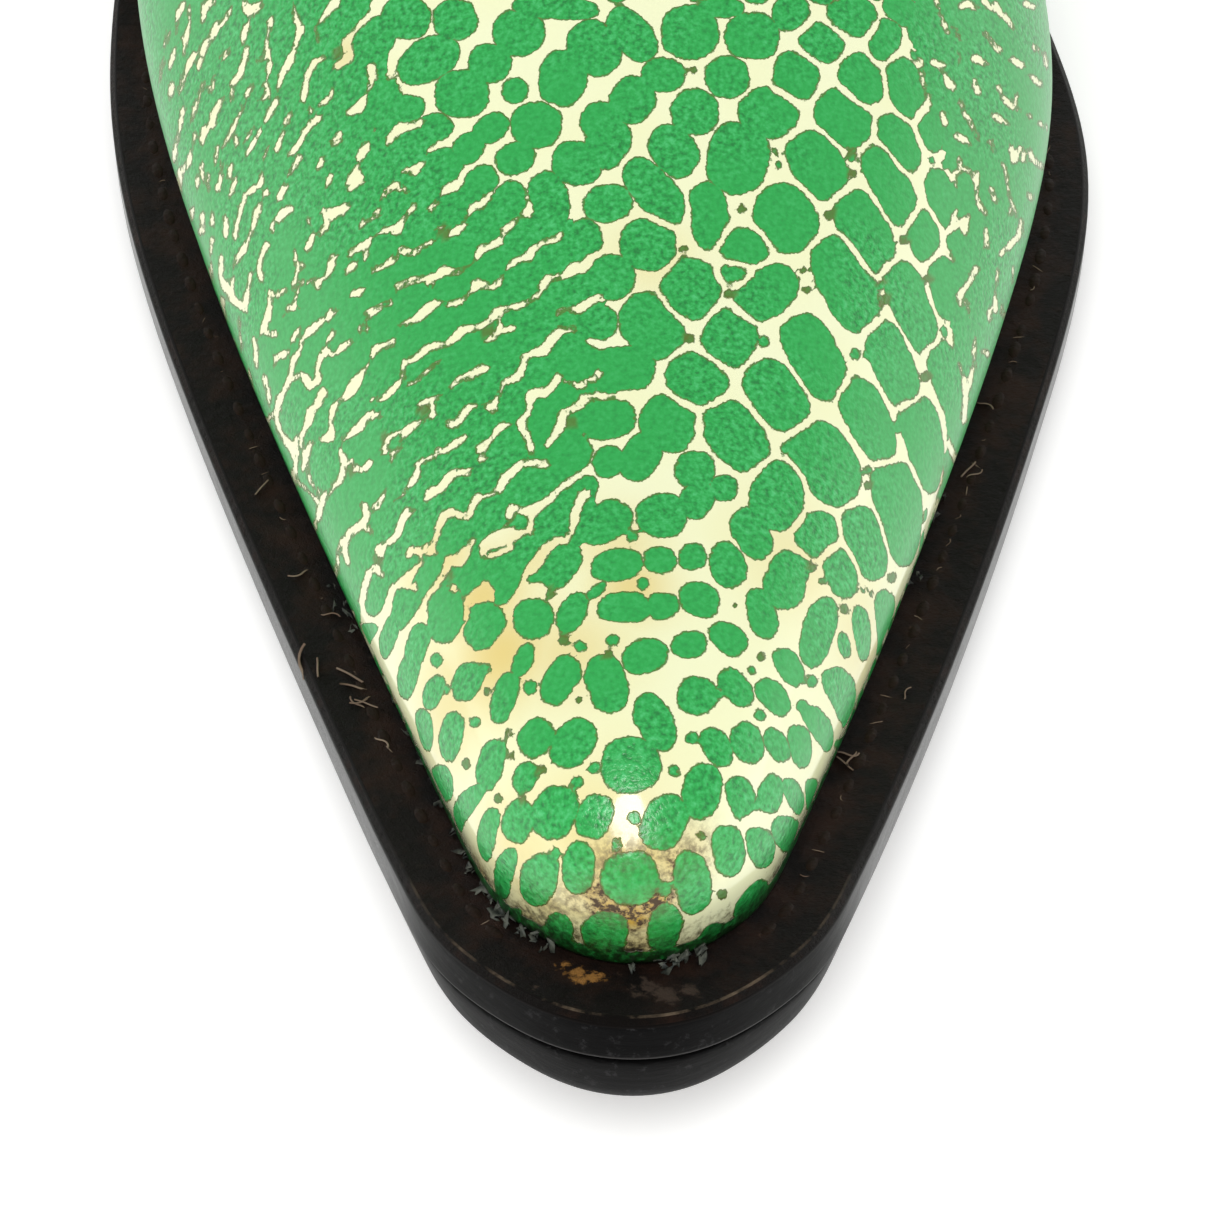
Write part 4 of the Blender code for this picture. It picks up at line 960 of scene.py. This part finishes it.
lining, tree, shader, spot = started("pigskin_lining")
pores = add(tree, "TexVoronoi", {"Vector": spot, "Scale": per_mm(PORE_MM)})
tan = add(tree, "Mix", {"Factor": pores, "A": linear(LINING_DARK), "B": linear(LINING_TAN)}, data_type="RGBA")
bump = add(tree, "Bump", {"Height": pores, "Strength": 0.3, "Distance": 0.0001})
feed(shader, {"Base Color": tan, "Roughness": 0.7, "Normal": bump})
upper.data.materials.append(lining)

# The cut edge shows the calf's thickness, painted green as the film runs over it.
edge_paint, tree, shader, spot = started("painted_cut_edge")
fuzz = add(tree, "TexNoise", {"Vector": spot, "Scale": per_mm(PEBBLE_MM), "Detail": 4.0})
paint = add(tree, "Mix", {"Factor": fuzz, "A": linear(SCALE_DARK), "B": linear(FEATHER_SOIL_AND_SHADE)},
            data_type="RGBA")
feed(shader, {"Base Color": paint, "Roughness": 0.6})
upper.data.materials.append(edge_paint)
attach(upper, "root")
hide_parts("upper")

# The insole is a board of vegetable-tanned leather under the foot, cut to the last's sole and bare on top.
INSOLE_TAN, INSOLE_DARK = "#A87F52", "#7E5A36"
FUZZ_MM = 1.4

insole_leather, tree, shader, spot = started("vegetable_tanned_insole")
fuzz = add(tree, "TexNoise", {"Vector": spot, "Scale": per_mm(FUZZ_MM), "Detail": 6.0})
tan = add(tree, "Mix", {"Factor": fuzz, "A": linear(INSOLE_DARK), "B": linear(INSOLE_TAN)}, data_type="RGBA")
bump = add(tree, "Bump", {"Height": fuzz, "Strength": 0.3, "Distance": 0.0002})
feed(shader, {"Base Color": tan, "Roughness": 0.75, "Normal": bump})
frame["nodes"]["insole"].data.materials.clear()
frame["nodes"]["insole"].data.materials.append(insole_leather)

# The welt is a strip of dyed leather, sewn round the upper's edge and to the outsole below. Its top is matt
# and black-brown, scuffed warmer along the seam, and its outer corner is rubbed pale in front of the toe.
SHARP_CORNER = math.radians(40)
STEEP = 0.5
WELT_EDGE_ROUND = 0.00035
WELT_BLACK, WELT_BROWN, WELT_FRAY = "#12100F", "#2B1D17", "#6A5546"
RUBBED_BROWN = "#7A6A58"
BARED_TAN, SCUFFED_GREY = "#A8783F", "#483C34"
WELT_PATCH_MM = 4.0
WELT_CRACK_MM = 1.2
RUBBED_FROM_Y, RUBBED_TO_Y = -0.122, -0.140
SEAM_SHARE = 0.68
SEAM_BAND_SHARE = 0.26
NEVER_ZERO = 1e-6
TOP, CORNER, SIDE = 0, 1, 2


def dressed(node, name, edge_round, finishes, side_below=STEEP):
    """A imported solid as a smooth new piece: its outline rounded out and its corners softened."""
    piece = merged(node, name, SHARP_CORNER, 1.0)
    for finish in finishes:
        piece.data.materials.append(finish)
    for face in piece.data.polygons:
        face.material_index = SIDE if abs(face.normal.z) < side_below else TOP
    rounded = piece.modifiers.new("rounded", "SUBSURF")
    rounded.levels = rounded.render_levels = 2
    corners = piece.modifiers.new("corners", "BEVEL")
    corners.width = edge_round
    corners.segments = 2
    corners.limit_method = "ANGLE"
    corners.angle_limit = SHARP_CORNER
    corners.material = CORNER
    for modifier in ("rounded", "corners"):
        bpy.ops.object.modifier_apply(modifier=modifier)
    bpy.ops.object.shade_smooth_by_angle(angle=SHARP_CORNER)
    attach(piece, "root")
    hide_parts(node)
    return piece


# Edge ink, a wax dressing burnished on with a hot iron: smooth, deep black, and a mirror at a slant. In front
# of the toe it is scuffed dull.
INK_BLACK, INK_WORN, INK_SPECK = "#080808", "#1C1B1B", "#403F40"
INK_STREAK_MM = 5.0
INK_DRAWN = (1.0, 1.0, 6.0)
INK_SPECK_MM = 1.2
MORE_AT_TOE = 0.3

edge_ink, tree, shader, spot = started("burnished_edge_ink")
drawn = add(tree, "Mapping", {"Vector": spot, "Scale": INK_DRAWN})
streaks = add(tree, "TexNoise", {"Vector": drawn, "Scale": per_mm(INK_STREAK_MM), "Detail": 8.0,
                                 "Roughness": 0.7})
worn_ink = add(tree, "MapRange", {"Value": streaks, "From Min": 0.58, "From Max": 0.72, "To Max": 0.6})
ink = add(tree, "Mix", {"Factor": worn_ink, "A": linear(INK_BLACK), "B": linear(INK_WORN)}, data_type="RGBA")
toward_toe = add(tree, "SeparateXYZ", {"Vector": spot}).outputs["Y"]
dulled = add(tree, "MapRange", {"Value": toward_toe, "From Min": RUBBED_FROM_Y, "From Max": RUBBED_TO_Y,
                                "To Max": 0.4}, interpolation_type="SMOOTHSTEP")
specks = add(tree, "TexNoise", {"Vector": spot, "Scale": per_mm(INK_SPECK_MM), "Detail": 9.0,
                                "Roughness": 0.72})
specks = add(tree, "Math", {0: dulled, 1: MORE_AT_TOE, 2: specks}, operation="MULTIPLY_ADD")
specks = add(tree, "MapRange", {"Value": specks, "From Min": 0.68, "From Max": 0.86, "To Max": 0.6})
ink = add(tree, "Mix", {"Factor": specks, "A": ink, "B": linear(INK_SPECK)}, data_type="RGBA")
gloss = add(tree, "MapRange", {"Value": streaks, "To Min": 0.14, "To Max": 0.38})
gloss = add(tree, "Math", {0: gloss, 1: dulled}, operation="ADD")
bump = add(tree, "Bump", {"Height": streaks, "Strength": 0.25, "Distance": 0.0002})
feed(shader, {"Base Color": ink, "Roughness": gloss, "Normal": bump, "Specular Tint": linear(INK_BLACK)})

# The rubbed corner has lost its dye in front of the toe, so that the bare leather shows grey-brown.
rubbed, tree, shader, spot = started("rubbed_welt_corner")
rubs = add(tree, "TexNoise", {"Vector": spot, "Scale": per_mm(WELT_PATCH_MM), "Detail": 8.0,
                              "Roughness": 0.7})
rubs = add(tree, "MapRange", {"Value": rubs, "From Min": 0.44, "From Max": 0.62, "To Max": 0.5})
toward_toe = add(tree, "SeparateXYZ", {"Vector": spot}).outputs["Y"]
share = add(tree, "MapRange", {"Value": toward_toe, "From Min": RUBBED_FROM_Y, "From Max": RUBBED_TO_Y})
rubs = add(tree, "Math", {0: rubs, 1: share}, operation="MULTIPLY", use_clamp=True)
upright = add(tree, "NewGeometry", {}).outputs["Normal"]
upright = add(tree, "SeparateXYZ", {"Vector": upright}).outputs["Z"]
upright = add(tree, "MapRange", {"Value": upright, "From Min": 0.8, "From Max": 0.9})
rubs = add(tree, "Math", {0: rubs, 1: upright}, operation="MULTIPLY")
bare = add(tree, "Mix", {"Factor": rubs, "A": linear(WELT_BLACK), "B": linear(RUBBED_BROWN)},
           data_type="RGBA")
feed(shader, {"Base Color": bare, "Roughness": 0.5, "Specular Tint": linear(WELT_BLACK)})

welt_leather, tree, shader, spot = started("dyed_welt_leather")
welt = dressed("welt", "welt_strip", WELT_EDGE_ROUND, [welt_leather, rubbed, edge_ink])

# The seam runs along the middle of the welt's top. The outer rim of that top is walked once, from the toe.
uses = {}
for face in welt.data.polygons:
    if face.material_index == TOP and face.normal.z > 0:
        for key in face.edge_keys:
            uses[key] = uses.get(key, 0) + 1
beside = {}
for first, second in (key for key, count in uses.items() if count == 1):
    beside.setdefault(first, []).append(second)
    beside.setdefault(second, []).append(first)
rim = [min(beside, key=lambda vertex: welt.data.vertices[vertex].co.y)]
rim.append(beside[rim[0]][0])
while rim[-1] != rim[0]:
    ahead, other = beside[rim[-1]]
    rim.append(ahead if ahead != rim[-2] else other)
rim = np.array([welt.data.vertices[vertex].co for vertex in rim])


def seam_share(point):
    """How far in from the rim a point of the welt lies, as a share of the way from the rim to the upper."""
    from_rim = np.linalg.norm(rim - point, axis=1).min()
    _, _, from_upper = in_space.find(point)
    return from_rim / (from_rim + from_upper + NEVER_ZERO)


shares = np.array([seam_share(np.array(vertex.co)) for vertex in welt.data.vertices])
band = welt.data.attributes.new("seam_band", "FLOAT", "POINT")
band.data.foreach_set("value", np.exp(-((shares - SEAM_SHARE) / SEAM_BAND_SHARE) ** 2).astype(np.float32))

# Dyed welt leather: a coarse, open grain that took the dye unevenly, with frayed fibres along the seam. A few
# places in front of the toe are scraped, some down to the tan leather: across, down and reach in pixels.
BARED_PX = [(566, 966, 5), (576, 972, 7), (582, 981, 6), (592, 978, 7), (600, 977, 6)]
SCUFFED_PX = [(648, 990, 11), (668, 995, 10), (536, 988, 5), (690, 990, 6)]
SEAM_BROWNS = 0.14
CRACKS_TEAR = 7.0

seam_band = add(tree, "Attribute", {}, attribute_name="seam_band").outputs["Fac"]
patch = add(tree, "TexNoise", {"Vector": spot, "Scale": per_mm(WELT_PATCH_MM), "Detail": 6.0,
                               "Roughness": 0.65})
browned = add(tree, "Math", {0: seam_band, 1: SEAM_BROWNS, 2: patch}, operation="MULTIPLY_ADD")
browned = add(tree, "MapRange", {"Value": browned, "From Min": 0.5, "From Max": 0.72})
brown = add(tree, "Mix", {"Factor": browned, "A": linear(WELT_BLACK), "B": linear(WELT_BROWN)},
            data_type="RGBA")
cracks = add(tree, "TexNoise", {"Vector": spot, "Scale": per_mm(WELT_CRACK_MM), "Detail": 8.0,
                                "Roughness": 0.75})
frays = add(tree, "MapRange", {"Value": cracks, "From Min": 0.62, "From Max": 0.72, "To Max": 0.6})
frays = add(tree, "Math", {0: frays, 1: seam_band}, operation="MULTIPLY")
brown = add(tree, "Mix", {"Factor": frays, "A": brown, "B": linear(WELT_FRAY)}, data_type="RGBA")
for places_px, bared in ((BARED_PX, BARED_TAN), (SCUFFED_PX, SCUFFED_GREY)):
    for across_px, down_px, reach_px in places_px:
        _, middle, _, _ = welt.ray_cast(CAMERA_PLACE, sight_line(across_px, down_px))
        off = add(tree, "VectorMath", {0: spot, 1: middle}, operation="DISTANCE")
        off = add(tree, "Math", {0: off, 1: 1000 * PX_PER_MM / reach_px}, operation="MULTIPLY")
        off = add(tree, "Math", {0: cracks, 1: -CRACKS_TEAR, 2: off}, operation="MULTIPLY_ADD")
        scraped = add(tree, "MapRange", {"Value": off, "From Min": -2.35, "From Max": -3.05, "To Max": 0.85})
        brown = add(tree, "Mix", {"Factor": scraped, "A": brown, "B": linear(bared)}, data_type="RGBA")
bump = add(tree, "Bump", {"Height": patch, "Strength": 0.5, "Distance": 0.0006})
bump = add(tree, "Bump", {"Height": cracks, "Strength": 1.0, "Distance": 0.0007, "Normal": bump})
feed(shader, {"Base Color": brown, "Roughness": 0.55, "Normal": bump, "Specular Tint": linear(SCUFFED_GREY)})

# The welt stitches are a waxed linen thread, sewn by machine through welt and outsole. Each is a flat little
# pillow that dips into the leather at both ends. Low in the photograph, at the toe, the thread is worn away.
STITCH_PITCH_MM = 3.5
STITCH_HALF_LENGTH_MM, STITCH_HALF_WIDTH_MM, STITCH_HALF_HEIGHT_MM = 1.5, 0.72, 0.42
STITCH_SUNK_MM = 0.29
STITCH_SIZES = (0.92, 1.08)
THREAD_GONE_PX = 935
THREAD_BROWN, THREAD_DARK = "#2A1F19", "#120E0C"
PLY_MM = 0.6
DOWN = Vector((0, 0, -1))
ABOVE = Vector((0, 0, 0.02))

run = np.concatenate(([0.0], np.cumsum(np.linalg.norm(np.diff(rim, axis=0), axis=1))))
marks = np.linspace(0, run[-1], round(run[-1] * 1000 / STITCH_PITCH_MM), endpoint=False)
on_rim = np.stack([np.interp(marks, run, rim[:, axis]) for axis in range(3)], axis=1)
seam = []
for point in on_rim:
    foot, _, _ = in_space.find(point)
    seam.append(Vector(point).lerp(foot, SEAM_SHARE))


def joined(name, copies, finish):
    """Joins small copies to one piece that rides on the boot."""
    bpy.ops.object.select_all(action="DESELECT")
    for copy in copies:
        bpy.context.scene.collection.objects.link(copy)
        copy.select_set(True)
    bpy.context.view_layer.objects.active = copies[0]
    bpy.ops.object.join()
    piece = bpy.context.object
    piece.name = name
    piece.data.materials.append(finish)
    bpy.ops.object.shade_smooth()
    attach(piece, "root")


def laid(model, seat, along, up, size):
    """A copy of a model with its own mesh, its length along one direction and its height along another."""
    copy = bpy.data.objects.new(model.name + "_copy", model.data.copy())
    ahead = (along - up * along.dot(up)).normalized()
    turn = Matrix((ahead, up.cross(ahead), up)).transposed().to_4x4()
    copy.data.transform(Matrix.Translation(seat) @ turn @ Matrix.Scale(size, 4))
    return copy


bpy.ops.object.select_all(action="DESELECT")
bpy.ops.mesh.primitive_uv_sphere_add(segments=8, ring_count=6, radius=STITCH_HALF_LENGTH_MM / 1000)
stitch = bpy.context.object
stitch.name = "stitch_model"
bpy.ops.object.mode_set(mode="EDIT")
bpy.ops.transform.resize(value=(1, STITCH_HALF_WIDTH_MM / STITCH_HALF_LENGTH_MM,
                                STITCH_HALF_HEIGHT_MM / STITCH_HALF_LENGTH_MM))
bpy.ops.object.mode_set(mode="OBJECT")

stitches, holes = [], []
for number, point in enumerate(seam):
    along = seam[(number + 1) % len(seam)] - seam[number - 1]
    hit, seat, up, _ = welt.ray_cast(point + ABOVE, DOWN)
    if hit and photo_place(np.array(seat)[None])[1][0] < THREAD_GONE_PX:
        size = random.uniform(*STITCH_SIZES)
        stitches.append(laid(stitch, seat - up * STITCH_SUNK_MM / 1000, along, up, size))
        holes.append((seat + along.normalized() * STITCH_PITCH_MM / 2 / 1000, up))
bpy.data.objects.remove(stitch)

thread, tree, shader, spot = started("waxed_linen_thread")
plies = add(tree, "TexNoise", {"Vector": spot, "Scale": per_mm(PLY_MM), "Detail": 4.0})
waxed = add(tree, "Mix", {"Factor": plies, "A": linear(THREAD_DARK), "B": linear(THREAD_BROWN)},
            data_type="RGBA")
bump = add(tree, "Bump", {"Height": plies, "Strength": 0.7, "Distance": 0.0002})
feed(shader, {"Base Color": waxed, "Roughness": 0.6, "Normal": bump, "Specular Tint": linear(SCUFFED_GREY)})
joined("welt_stitches", stitches, thread)

# Loose fibres stand out of the stitch holes, and longer ones lie where the photograph shows them, at these
# pixels with their size. Each is a short bent hair of linen.
FIBRE_LENGTH_MM = 1.5
FIBRE_HALF_MM = 0.06
FIBRE_KINDS = 3
FRAYED_SHARE = 0.45
FRAYED_RISE, LAID_RISE = (-0.3, 0.5), 0.2
FRAYED_SIZES = (0.4, 0.9)
FIBRES_PX = [
    (302, 664, 2.6), (318, 668, 1.6), (350, 676, 2.0), (353, 688, 1.8), (362, 701, 1.6), (357, 704, 1.4),
    (366, 704, 1.5), (262, 488, 1.4), (300, 574, 1.6), (330, 615, 1.4), (382, 742, 1.6), (848, 754, 1.6),
    (852, 760, 1.8), (845, 764, 1.4), (906, 694, 1.2), (968, 470, 1.6), (975, 474, 1.2), (985, 405, 1.4),
]
FIBRE_TAN = "#857563"

hairs = []
for kind in range(FIBRE_KINDS):
    bpy.ops.object.select_all(action="DESELECT")
    bpy.ops.curve.primitive_nurbs_path_add(radius=FIBRE_LENGTH_MM / 4 / 1000)
    hair = bpy.context.object
    hair.data.bevel_depth = FIBRE_HALF_MM / 1000
    hair.data.bevel_resolution = 0
    hair.data.resolution_u = 3
    bpy.ops.object.mode_set(mode="EDIT")
    bpy.ops.curve.select_all(action="SELECT")
    bpy.ops.transform.vertex_random(offset=FIBRE_LENGTH_MM / 4 / 1000, seed=kind)
    bpy.ops.object.mode_set(mode="OBJECT")
    bpy.ops.object.convert(target="MESH")
    hairs.append(bpy.context.object)


def any_way():
    """A direction on the level, drawn at random."""
    return Vector((random.uniform(-1, 1), random.uniform(-1, 1), 0))


fibres = []
for seat, up in holes:
    if random.random() < FRAYED_SHARE:
        turned = any_way()
        turned.z = random.uniform(*FRAYED_RISE)
        fibres.append(laid(random.choice(hairs), seat, turned, up, random.uniform(*FRAYED_SIZES)))
for across_px, down_px, size in FIBRES_PX:
    hit, seat, up, _ = welt.ray_cast(CAMERA_PLACE, sight_line(across_px, down_px))
    if hit:
        turned = any_way()
        turned.z = LAID_RISE
        fibres.append(laid(random.choice(hairs), seat + up * 2 * FIBRE_HALF_MM / 1000, turned, up, size))
for hair in hairs:
    bpy.data.objects.remove(hair)

linen, tree, shader, spot = started("loose_linen_fibre")
soot = add(tree, "TexNoise", {"Vector": spot, "Scale": per_mm(WELT_PATCH_MM), "Detail": 3.0})
soot = add(tree, "MapRange", {"Value": soot, "From Min": 0.35, "From Max": 0.65})
pale = add(tree, "Mix", {"Factor": soot, "A": linear(WELT_FRAY), "B": linear(FIBRE_TAN)}, data_type="RGBA")
feed(shader, {"Base Color": pale, "Roughness": 0.8})
joined("seam_fibres", fibres, linen)

# Flakes of clear film have come off the leather's edge and stick up between it and the welt, on the outer
# side of the toe and in front of it: across, down and size, at pixels of the photograph.
FLAKES_PX = [
    (318, 592, 0.7), (326, 606, 0.8), (336, 622, 0.8), (344, 634, 0.7), (402, 702, 0.7), (417, 730, 0.7),
    (430, 762, 0.9), (437, 785, 0.8), (444, 805, 0.9), (453, 832, 0.9), (460, 852, 0.9), (470, 872, 1.1),
    (478, 888, 1.3), (484, 902, 1.2), (492, 918, 1.2), (500, 930, 1.3), (508, 942, 1.1), (520, 953, 1.0),
    (534, 958, 1.1), (636, 975, 0.8), (662, 978, 0.9), (676, 980, 0.9), (690, 977, 1.1), (702, 974, 1.2),
    (712, 968, 1.1), (945, 500, 0.8), (938, 520, 0.7), (932, 583, 0.8), (925, 592, 0.8),
]
FLAKES_TOGETHER = 3
FLAKE_HALF_MM = 0.3
FLAKE_THICK_MM = 0.04
FLAKE_JAG_MM = 0.3
FLAKE_SCATTER_MM = 0.35
FLAKE_KINDS = 4
FLAKE_DRAWN = (1.9, 0.8, 1.0)
FLAKE_LEANS, FLAKE_SETS_BACK, FLAKE_SIZES = (0.3, 1.6), (0.5, 1.0), (0.4, 1.3)
FLAKE_GREY, FLAKE_GREEN = "#53564B", "#161E19"

films = []
for kind in range(FLAKE_KINDS):
    bpy.ops.object.select_all(action="DESELECT")
    bpy.ops.mesh.primitive_circle_add(vertices=9, radius=FLAKE_HALF_MM / 1000, fill_type="TRIFAN")
    film_flake = bpy.context.object
    bpy.ops.object.mode_set(mode="EDIT")
    bpy.ops.mesh.select_all(action="SELECT")
    bpy.ops.transform.vertex_random(offset=FLAKE_JAG_MM / 1000, uniform=0.5, seed=kind)
    bpy.ops.transform.resize(value=FLAKE_DRAWN)
    bpy.ops.object.mode_set(mode="OBJECT")
    thick = film_flake.modifiers.new("thick", "SOLIDIFY")
    thick.thickness = FLAKE_THICK_MM / 1000
    bpy.ops.object.modifier_apply(modifier="thick")
    films.append(film_flake)

flakes = []
for across_px, down_px, size in FLAKES_PX:
    _, seat, up, _ = welt.ray_cast(CAMERA_PLACE, sight_line(across_px, down_px))
    foot, _, _ = in_space.find(seat)
    away = (seat - foot).normalized()
    for _ in range(FLAKES_TOGETHER):
        stands = (up + away * random.uniform(*FLAKE_LEANS)).normalized()
        turned = any_way()
        turned.z = random.uniform(-1, 1)
        scatter = any_way() * FLAKE_SCATTER_MM / 1000
        model = random.choice(films)
        stuck_at = seat.lerp(foot, random.uniform(*FLAKE_SETS_BACK)) + scatter
        flakes.append(laid(model, stuck_at, turned, stands, size * random.uniform(*FLAKE_SIZES)))
for film_flake in films:
    bpy.data.objects.remove(film_flake)

lacquer, tree, shader, spot = started("flaked_print_film")
tint = add(tree, "TexNoise", {"Vector": spot, "Scale": per_mm(SOIL_MM), "Detail": 3.0})
tint = add(tree, "MapRange", {"Value": tint, "From Min": 0.35, "From Max": 0.65})
tint = add(tree, "Mix", {"Factor": tint, "A": linear(FLAKE_GREEN), "B": linear(FLAKE_GREY)}, data_type="RGBA")
feed(shader, {"Base Color": tint, "Roughness": 0.6})
joined("film_flakes", flakes, lacquer)

# The outsole is one layer of sole leather, cemented and sewn to the welt, with the same ink on its edge. Its
# underside is stained dark and rubbed dull by the ground. Its top lies up against the welt.
OUTSOLE_EDGE_ROUND = 0.00025
OUTSOLE_STEEP = 0.78
CEMENT_JOINT = 0.00026
TURNED_UP = 0.3
GROUND_BROWN, GROUND_DUST = "#2B2320", "#5B4E43"
GROUND_MM = 12.0

ground, tree, shader, spot = started("stained_sole_leather")
dust = add(tree, "TexNoise", {"Vector": spot, "Scale": per_mm(GROUND_MM), "Detail": 9.0, "Roughness": 0.7})
stain = add(tree, "ValToRGB", {"Fac": dust})
stain.color_ramp.elements[0].position = 0.4
stain.color_ramp.elements[0].color = linear(GROUND_BROWN)
stain.color_ramp.elements[1].position = 0.7
stain.color_ramp.elements[1].color = linear(GROUND_DUST)
bump = add(tree, "Bump", {"Height": dust, "Strength": 0.4, "Distance": 0.0003})
feed(shader, {"Base Color": stain, "Roughness": 0.7, "Normal": bump})
outsole = dressed("outsole", "outsole_leather", OUTSOLE_EDGE_ROUND, [ground, edge_ink, edge_ink],
                  OUTSOLE_STEEP)
for face in outsole.data.polygons:
    if face.material_index == TOP and face.normal.z > 0:
        face.material_index = SIDE
for vertex in outsole.data.vertices:
    if vertex.normal.z > TURNED_UP:
        vertex.co.z += CEMENT_JOINT

# The heel is a stack of leather lifts, glued, trimmed and inked as one block. A fine groove parts the lifts.
HEEL_EDGE_ROUND = 0.0004
LIFT_MM = 5.0
GROOVE_HALF_MM, GROOVE_DEEP_MM = 0.22, 0.25

heel = dressed("heel_block", "heel_stack", HEEL_EDGE_ROUND, [edge_ink] * 3)
heel_low, heel_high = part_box("heel_block")
lift_tops = np.arange(heel_low[2] + LIFT_MM / 1000, heel_high[2] - LIFT_MM / 1000, LIFT_MM / 1000)
bpy.ops.object.mode_set(mode="EDIT")
for height in lift_tops:
    for step in (-1, 1, 0):
        bpy.ops.mesh.select_all(action="SELECT")
        bpy.ops.mesh.bisect(plane_co=(0, 0, height + step * GROOVE_HALF_MM / 1000), plane_no=(0, 0, 1))
    bpy.ops.transform.shrink_fatten(value=-GROOVE_DEEP_MM / 1000)
bpy.ops.object.mode_set(mode="OBJECT")

# The top piece is a moulded rubber plate, nailed under the heel.
TOP_PIECE_ROUND = 0.0008
RUBBER_BLACK, RUBBER_DUST = "#191919", "#3C3A38"
RUBBER_MM = 1.1

rubber, tree, shader, spot = started("moulded_heel_rubber")
skin = add(tree, "TexNoise", {"Vector": spot, "Scale": per_mm(RUBBER_MM), "Detail": 6.0})
dull = add(tree, "Mix", {"Factor": skin, "A": linear(RUBBER_BLACK), "B": linear(RUBBER_DUST)},
           data_type="RGBA")
bump = add(tree, "Bump", {"Height": skin, "Strength": 0.3, "Distance": 0.0002})
feed(shader, {"Base Color": dull, "Roughness": 0.65, "Normal": bump})
top_piece = dressed("heel_top_piece", "heel_rubber", TOP_PIECE_ROUND, [rubber] * 3)

# The floor is a sheet of white paper, and the light is a white room with a dim ceiling, so that the flanks
# catch a pale gleam and the top keeps its colour. One lamp hangs over the toe, where the leather mirrors it.
FLOOR_SIZE = 6.0
FLOOR_WHITE = "#F6F6F4"
FLOOR_GLOW = 0.34
ROOM_STRENGTH, FRONT_STRENGTH = 1.22, 0.4
FRONT_FROM, FRONT_TO = -0.2, -0.9
WALL_LIGHT, SLOPE_LIGHT, CEILING_LIGHT = 1.25, 0.43, 0.36
WALL_ENDS, SLOPE_AT, CEILING_STARTS = 0.05, 0.5, 0.9
LAMP_SEEN_PX = (630, 820)
LAMP_DISTANCE = 0.9
LAMP_WIDE, LAMP_TALL = 0.42, 0.66
LAMP_WATTS = 5.6

bpy.ops.mesh.primitive_plane_add(size=FLOOR_SIZE)
floor = bpy.context.object
floor.name = "floor"
paper = bpy.data.materials.new("white_paper")
paper.use_nodes = True
feed(paper.node_tree.nodes["Principled BSDF"],
     {"Base Color": linear(FLOOR_WHITE), "Roughness": 0.9, "Emission Color": (1, 1, 1, 1),
      "Emission Strength": FLOOR_GLOW})
floor.data.materials.append(paper)

room = bpy.data.worlds.new("white_room")
bpy.context.scene.world = room
room.use_nodes = True
tree = room.node_tree
facing = add(tree, "TexCoord", {}).outputs["Generated"]
facing = add(tree, "SeparateXYZ", {"Vector": facing}).outputs
walls = add(tree, "ValToRGB", {"Fac": facing["Z"]})
walls.color_ramp.elements[0].position = WALL_ENDS
walls.color_ramp.elements[0].color = (WALL_LIGHT, WALL_LIGHT, WALL_LIGHT, 1)
walls.color_ramp.elements[1].position = CEILING_STARTS
walls.color_ramp.elements[1].color = (CEILING_LIGHT, CEILING_LIGHT, CEILING_LIGHT, 1)
walls.color_ramp.elements.new(SLOPE_AT).color = (SLOPE_LIGHT, SLOPE_LIGHT, SLOPE_LIGHT, 1)
front = add(tree, "MapRange", {"Value": facing["Y"], "From Min": FRONT_FROM, "From Max": FRONT_TO,
                               "To Min": ROOM_STRENGTH, "To Max": FRONT_STRENGTH})
feed(tree.nodes["Background"], {"Color": walls, "Strength": front})

_, gleam, slope, _ = upper.ray_cast(CAMERA_PLACE, sight_line(*LAMP_SEEN_PX))
mirrored = sight_line(*LAMP_SEEN_PX).reflect(slope)
bpy.ops.object.light_add(type="AREA", location=gleam + mirrored * LAMP_DISTANCE)
lamp = bpy.context.object
lamp.name = "toe_lamp"
lamp.rotation_euler = (-mirrored).to_track_quat("-Z", "Y").to_euler()
lamp.data.shape = "ELLIPSE"
lamp.data.size = LAMP_WIDE
lamp.data.size_y = LAMP_TALL
lamp.data.energy = LAMP_WATTS

bpy.context.scene.view_settings.view_transform = "Standard"
